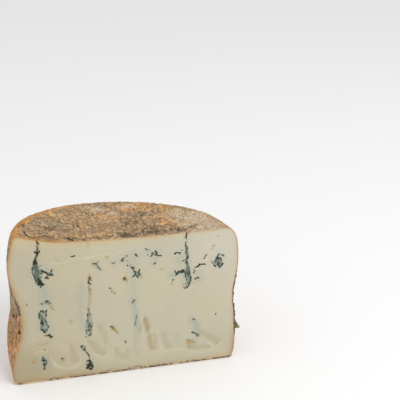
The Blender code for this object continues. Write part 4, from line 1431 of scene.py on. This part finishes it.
# more painted shade towards the left of the paste
face_fields["painted_shade"] = np.maximum(face_fields["painted_shade"], SHADE_LEFT * smooth(face_x, 10, -60))
face_fields["bloom"] = stroke_field(soft_x, soft_z, BLOOM)
ridge_height = np.clip(0.75 + 0.5 * lumps(face_points, 10 * MM, 69, 2), 0.2, 1)
face_fields["ridge"] = stroke_field(soft_x, soft_z, RIDGES) * ridge_height

# Crumbs lie where the strokes say, and up the right edge.
right_edge = (smooth(to_edge, 1.3 * MM, 0.4 * MM) * smooth(mark_x, 60, 78)
              * smooth(mark_z, 12, 20) * smooth(mark_z, 80, 70))
face_fields["crumb"] = np.clip(stroke_field(mark_x, mark_z, CRUMBS) + 0.8 * right_edge, 0, 1)

# The crust's tan fades inwards, over a distance that differs round the edge.
reach = np.full(len(face_flat), SEEP_LEAST)
for x, z, size, far in SEEPS:
    away = ((face_x - x) ** 2 + (face_z - z) ** 2) / size**2
    reach = np.maximum(reach, SEEP_LEAST + (far - SEEP_LEAST) * np.exp(-away))
face_fields["seep"] = np.exp(-np.clip(to_edge / MM - SEEP_START, 0, None) / reach)

hollow_depth, hollow = np.zeros(len(face_flat)), np.zeros(len(face_flat))
for deep, points in HOLLOWS:
    strength = smooth(stroke_field(soft_x, soft_z, ((1.0, points),)), 0.0, 1.1)
    hollow_depth = np.maximum(hollow_depth, deep * MM * strength)
    hollow = np.maximum(hollow, deep / HOLLOW_FULL * strength)
face_fields["hollow"] = hollow

relief = np.full(len(face_flat), FACE_REST)
for deep, size, seed in FACE_LUMPS:
    relief += deep * lumps(face_points, size, seed, 2)
relief += hollow_depth
teal_depth = (0.30 + 0.20 * noise(face_points, 1.1 * MM, 77)) * MM
# Marks are sunk in, and ridges stand out: (field, depth, where it starts, where it is full).
for name, deep, start, full in (("pocket", 0.55 * MM, 0.25, 0.75), ("teal", teal_depth, 0.3, 0.8),
                                ("dark", 0.40 * MM, 0.35, 0.8), ("hole", 0.90 * MM, 0.35, 0.85),
                                ("ridge", -0.22 * MM, 0.0, 1.0)):
    relief += deep * smooth(face_fields[name], start, full)
relief = np.maximum(relief, NEAR_CUT)
relief += FACE_DIVE * (1 - smooth(to_edge - crust_width(face_points) + DIVE_FULL, 0, DIVE_LENGTH))
face_points[:, 1] = CUT_Y + relief

behind = face_grid(FACE_COLUMNS // FACE_STEPS[0], FACE_ROWS // FACE_STEPS[1], FACE_BACK_INSET)
face_back = np.stack([behind[..., 0], np.full(behind.shape[:2], CUT_Y + FACE_BACK), behind[..., 1]], -1)
closed_piece("paste", face_points.reshape(*face.shape[:2], 3), face_back, FACE_STEPS, False, face_fields,
             paste_paint())


# ---- the scrap of crust on the right edge of the cut ----

SCRAP_STEPS, SCRAP_ROUND = 26, 36
SCRAP_X = np.array([83.4, 85.4, 86.6, 87.8, 89.0, 89.8]) * MM
SCRAP_TOP = np.array([37.5, 34.8, 31.6, 29.2, 27.3, 26.3]) * MM
SCRAP_BASE = np.array([21.5, 23.4, 24.2, 24.4, 24.5, 24.8]) * MM
SCRAP_BACK = np.array([5.0, 4.2, 3.4, 2.8, 2.2, 1.5]) * MM
SCRAP_FRONT = 0.3 * MM  # behind the cut
SCRAP_BLUNT = 0.7  # 1 would make its rings ellipses
# Its layout for the bake: the rings' share of the square, and the strip at each end for a cap.
RINGS_START, RINGS_SHARE, CAP = 0.04, 0.92, 0.03


def scrap_rings():
    """Rings of points round the scrap, from inside the cheese to its tip."""
    x = np.linspace(SCRAP_X[0], SCRAP_X[-1], SCRAP_STEPS)
    top, base, back = (np.interp(x, SCRAP_X, row) for row in (SCRAP_TOP, SCRAP_BASE, SCRAP_BACK))
    angle = np.linspace(0, 2 * math.pi, SCRAP_ROUND, endpoint=False)

    def blunt(value):
        return np.sign(value) * np.abs(value) ** SCRAP_BLUNT

    tip = np.sqrt(np.clip(1 - ((x - SCRAP_X[0]) / (SCRAP_X[-1] - SCRAP_X[0])) ** 6, 0.05, 1))[:, None]
    half_z = ((top - base) / 2)[:, None] * tip
    half_y = ((back - SCRAP_FRONT) / 2)[:, None] * tip
    z = ((top + base) / 2)[:, None] + half_z * blunt(np.sin(angle))[None]
    y = CUT_Y + ((back + SCRAP_FRONT) / 2)[:, None] + half_y * blunt(np.cos(angle))[None]
    rings = np.stack([np.broadcast_to(x[:, None], z.shape), y, z], -1)
    centre = rings.mean(axis=1, keepdims=True)
    rough = lumps(rings.reshape(-1, 3), 1.8 * MM, 81, 3).reshape(z.shape)
    return centre + (rings - centre) * (0.94 + 0.10 * rough[..., None])


def scrap_fields(points):
    """The rind's colour fields on the scrap: dark, and darkest along its upper edge."""
    none = np.zeros(len(points))
    ways = np.full(len(points), Q_SIDE + 0.7 * SIDE_LENGTH)
    near_top = smooth(np.interp(points[:, 0], SCRAP_X, SCRAP_TOP) - points[:, 2], 1.6 * MM, 0.5 * MM)
    own = {"dark": 1.0 + 2.0 * near_top, "grey": none + 1.2, "orange": none, "gold": none, "tan": none}
    return rind_fields(points, none, ways, none) | own


def scrap_piece(rings):
    """The closed scrap, with a point in the middle of each end."""
    count, around = rings.shape[:2]
    first, last = count * around, count * around + 1
    points = np.concatenate([rings.reshape(-1, 3), rings[0].mean(0)[None], rings[-1].mean(0)[None]])
    faces, layout = [], []
    for i in range(count - 1):
        for j in range(around):
            k = (j + 1) % around
            faces.append((i * around + j, i * around + k, (i + 1) * around + k, (i + 1) * around + j))
            corners = ((i, j), (i, j + 1), (i + 1, j + 1), (i + 1, j))
            layout += [(RINGS_START + RINGS_SHARE * m / (count - 1), n / around) for m, n in corners]
    for j in range(around):
        k = (j + 1) % around
        faces.append((first, k, j))
        layout += [(0.0, (j + 0.5) / around), (CAP, (j + 1) / around), (CAP, j / around)]
        faces.append((last, (count - 1) * around + j, (count - 1) * around + k))
        layout += [(1.0, (j + 0.5) / around), (1 - CAP, j / around), (1 - CAP, (j + 1) / around)]
    mesh = bpy.data.meshes.new("rind_scrap")
    mesh.from_pydata(points.tolist(), [], faces)
    mesh.shade_smooth()
    mesh.uv_layers.new(name="OFBake").data.foreach_set("uv", np.array(layout, np.float32).ravel())
    add_piece("rind_scrap", mesh, scrap_fields(points), rind_material)


scrap_piece(scrap_rings())


# ---- the stage, light and camera ----

FLOOR_HALF = 8.0
FLOOR_DOWN = 0.0003  # so that it doesn't cut into the base
FLOOR_WHITE = 0.97
FLOOR_ROUGH = 0.9
WORLD_LIGHT = 0.78
KEY_PLACE, KEY_AIM = Vector((0.75, -1.25, 1.35)), Vector((0, 0, 0.05))
KEY_SIZE, KEY_WATTS = 1.1, 14.0
CAMERA_PLACE = Vector((-0.0765, -0.5794, 0.3369))
CAMERA_AZIMUTH = math.radians(-14.0)
CAMERA_DOWN = math.radians(20.0)
CAMERA_LENS, CAMERA_FRAME = 72.0, 36.0  # millimetres
CAMERA_NEAR, CAMERA_FAR = 0.01, 60.0


def placed(name, data):
    """A new object in the scene."""
    thing = bpy.data.objects.new(name, data)
    bpy.context.scene.collection.objects.link(thing)
    return thing


floor_mesh = bpy.data.meshes.new("floor")
floor_signs = ((-1, -1), (1, -1), (1, 1), (-1, 1))
floor_corners = [(x * FLOOR_HALF, y * FLOOR_HALF, -FLOOR_DOWN) for x, y in floor_signs]
floor_mesh.from_pydata(floor_corners, [], [(0, 1, 2, 3)])
floor_paint = bpy.data.materials.new("floor")
floor_paint.use_nodes = True
floor_surface = floor_paint.node_tree.nodes["Principled BSDF"]
floor_surface.inputs["Base Color"].default_value = (FLOOR_WHITE, FLOOR_WHITE, FLOOR_WHITE, 1)
floor_surface.inputs["Roughness"].default_value = FLOOR_ROUGH
floor_surface.inputs["Specular IOR Level"].default_value = 0.0
floor_mesh.materials.append(floor_paint)
floor = placed("floor", floor_mesh)

world = bpy.data.worlds.new("world")
world.use_nodes = True
world.node_tree.nodes["Background"].inputs["Color"].default_value = (1, 1, 1, 1)
world.node_tree.nodes["Background"].inputs["Strength"].default_value = WORLD_LIGHT
bpy.context.scene.world = world

key_light = bpy.data.lights.new("key", "AREA")
key_light.size = KEY_SIZE
key_light.energy = KEY_WATTS
key = placed("key", key_light)
key.location = KEY_PLACE
key.rotation_euler = (KEY_AIM - KEY_PLACE).to_track_quat("-Z", "Y").to_euler()

camera_data = bpy.data.cameras.new("camera")
camera_data.lens = CAMERA_LENS
camera_data.sensor_width = CAMERA_FRAME
camera_data.clip_start = CAMERA_NEAR
camera_data.clip_end = CAMERA_FAR
camera = placed("camera", camera_data)
camera.location = CAMERA_PLACE
camera.rotation_euler = (math.pi / 2 - CAMERA_DOWN, 0.0, CAMERA_AZIMUTH)
bpy.context.scene.camera = camera
bpy.context.scene.view_settings.view_transform = "Standard"
bpy.context.scene.view_settings.look = "None"
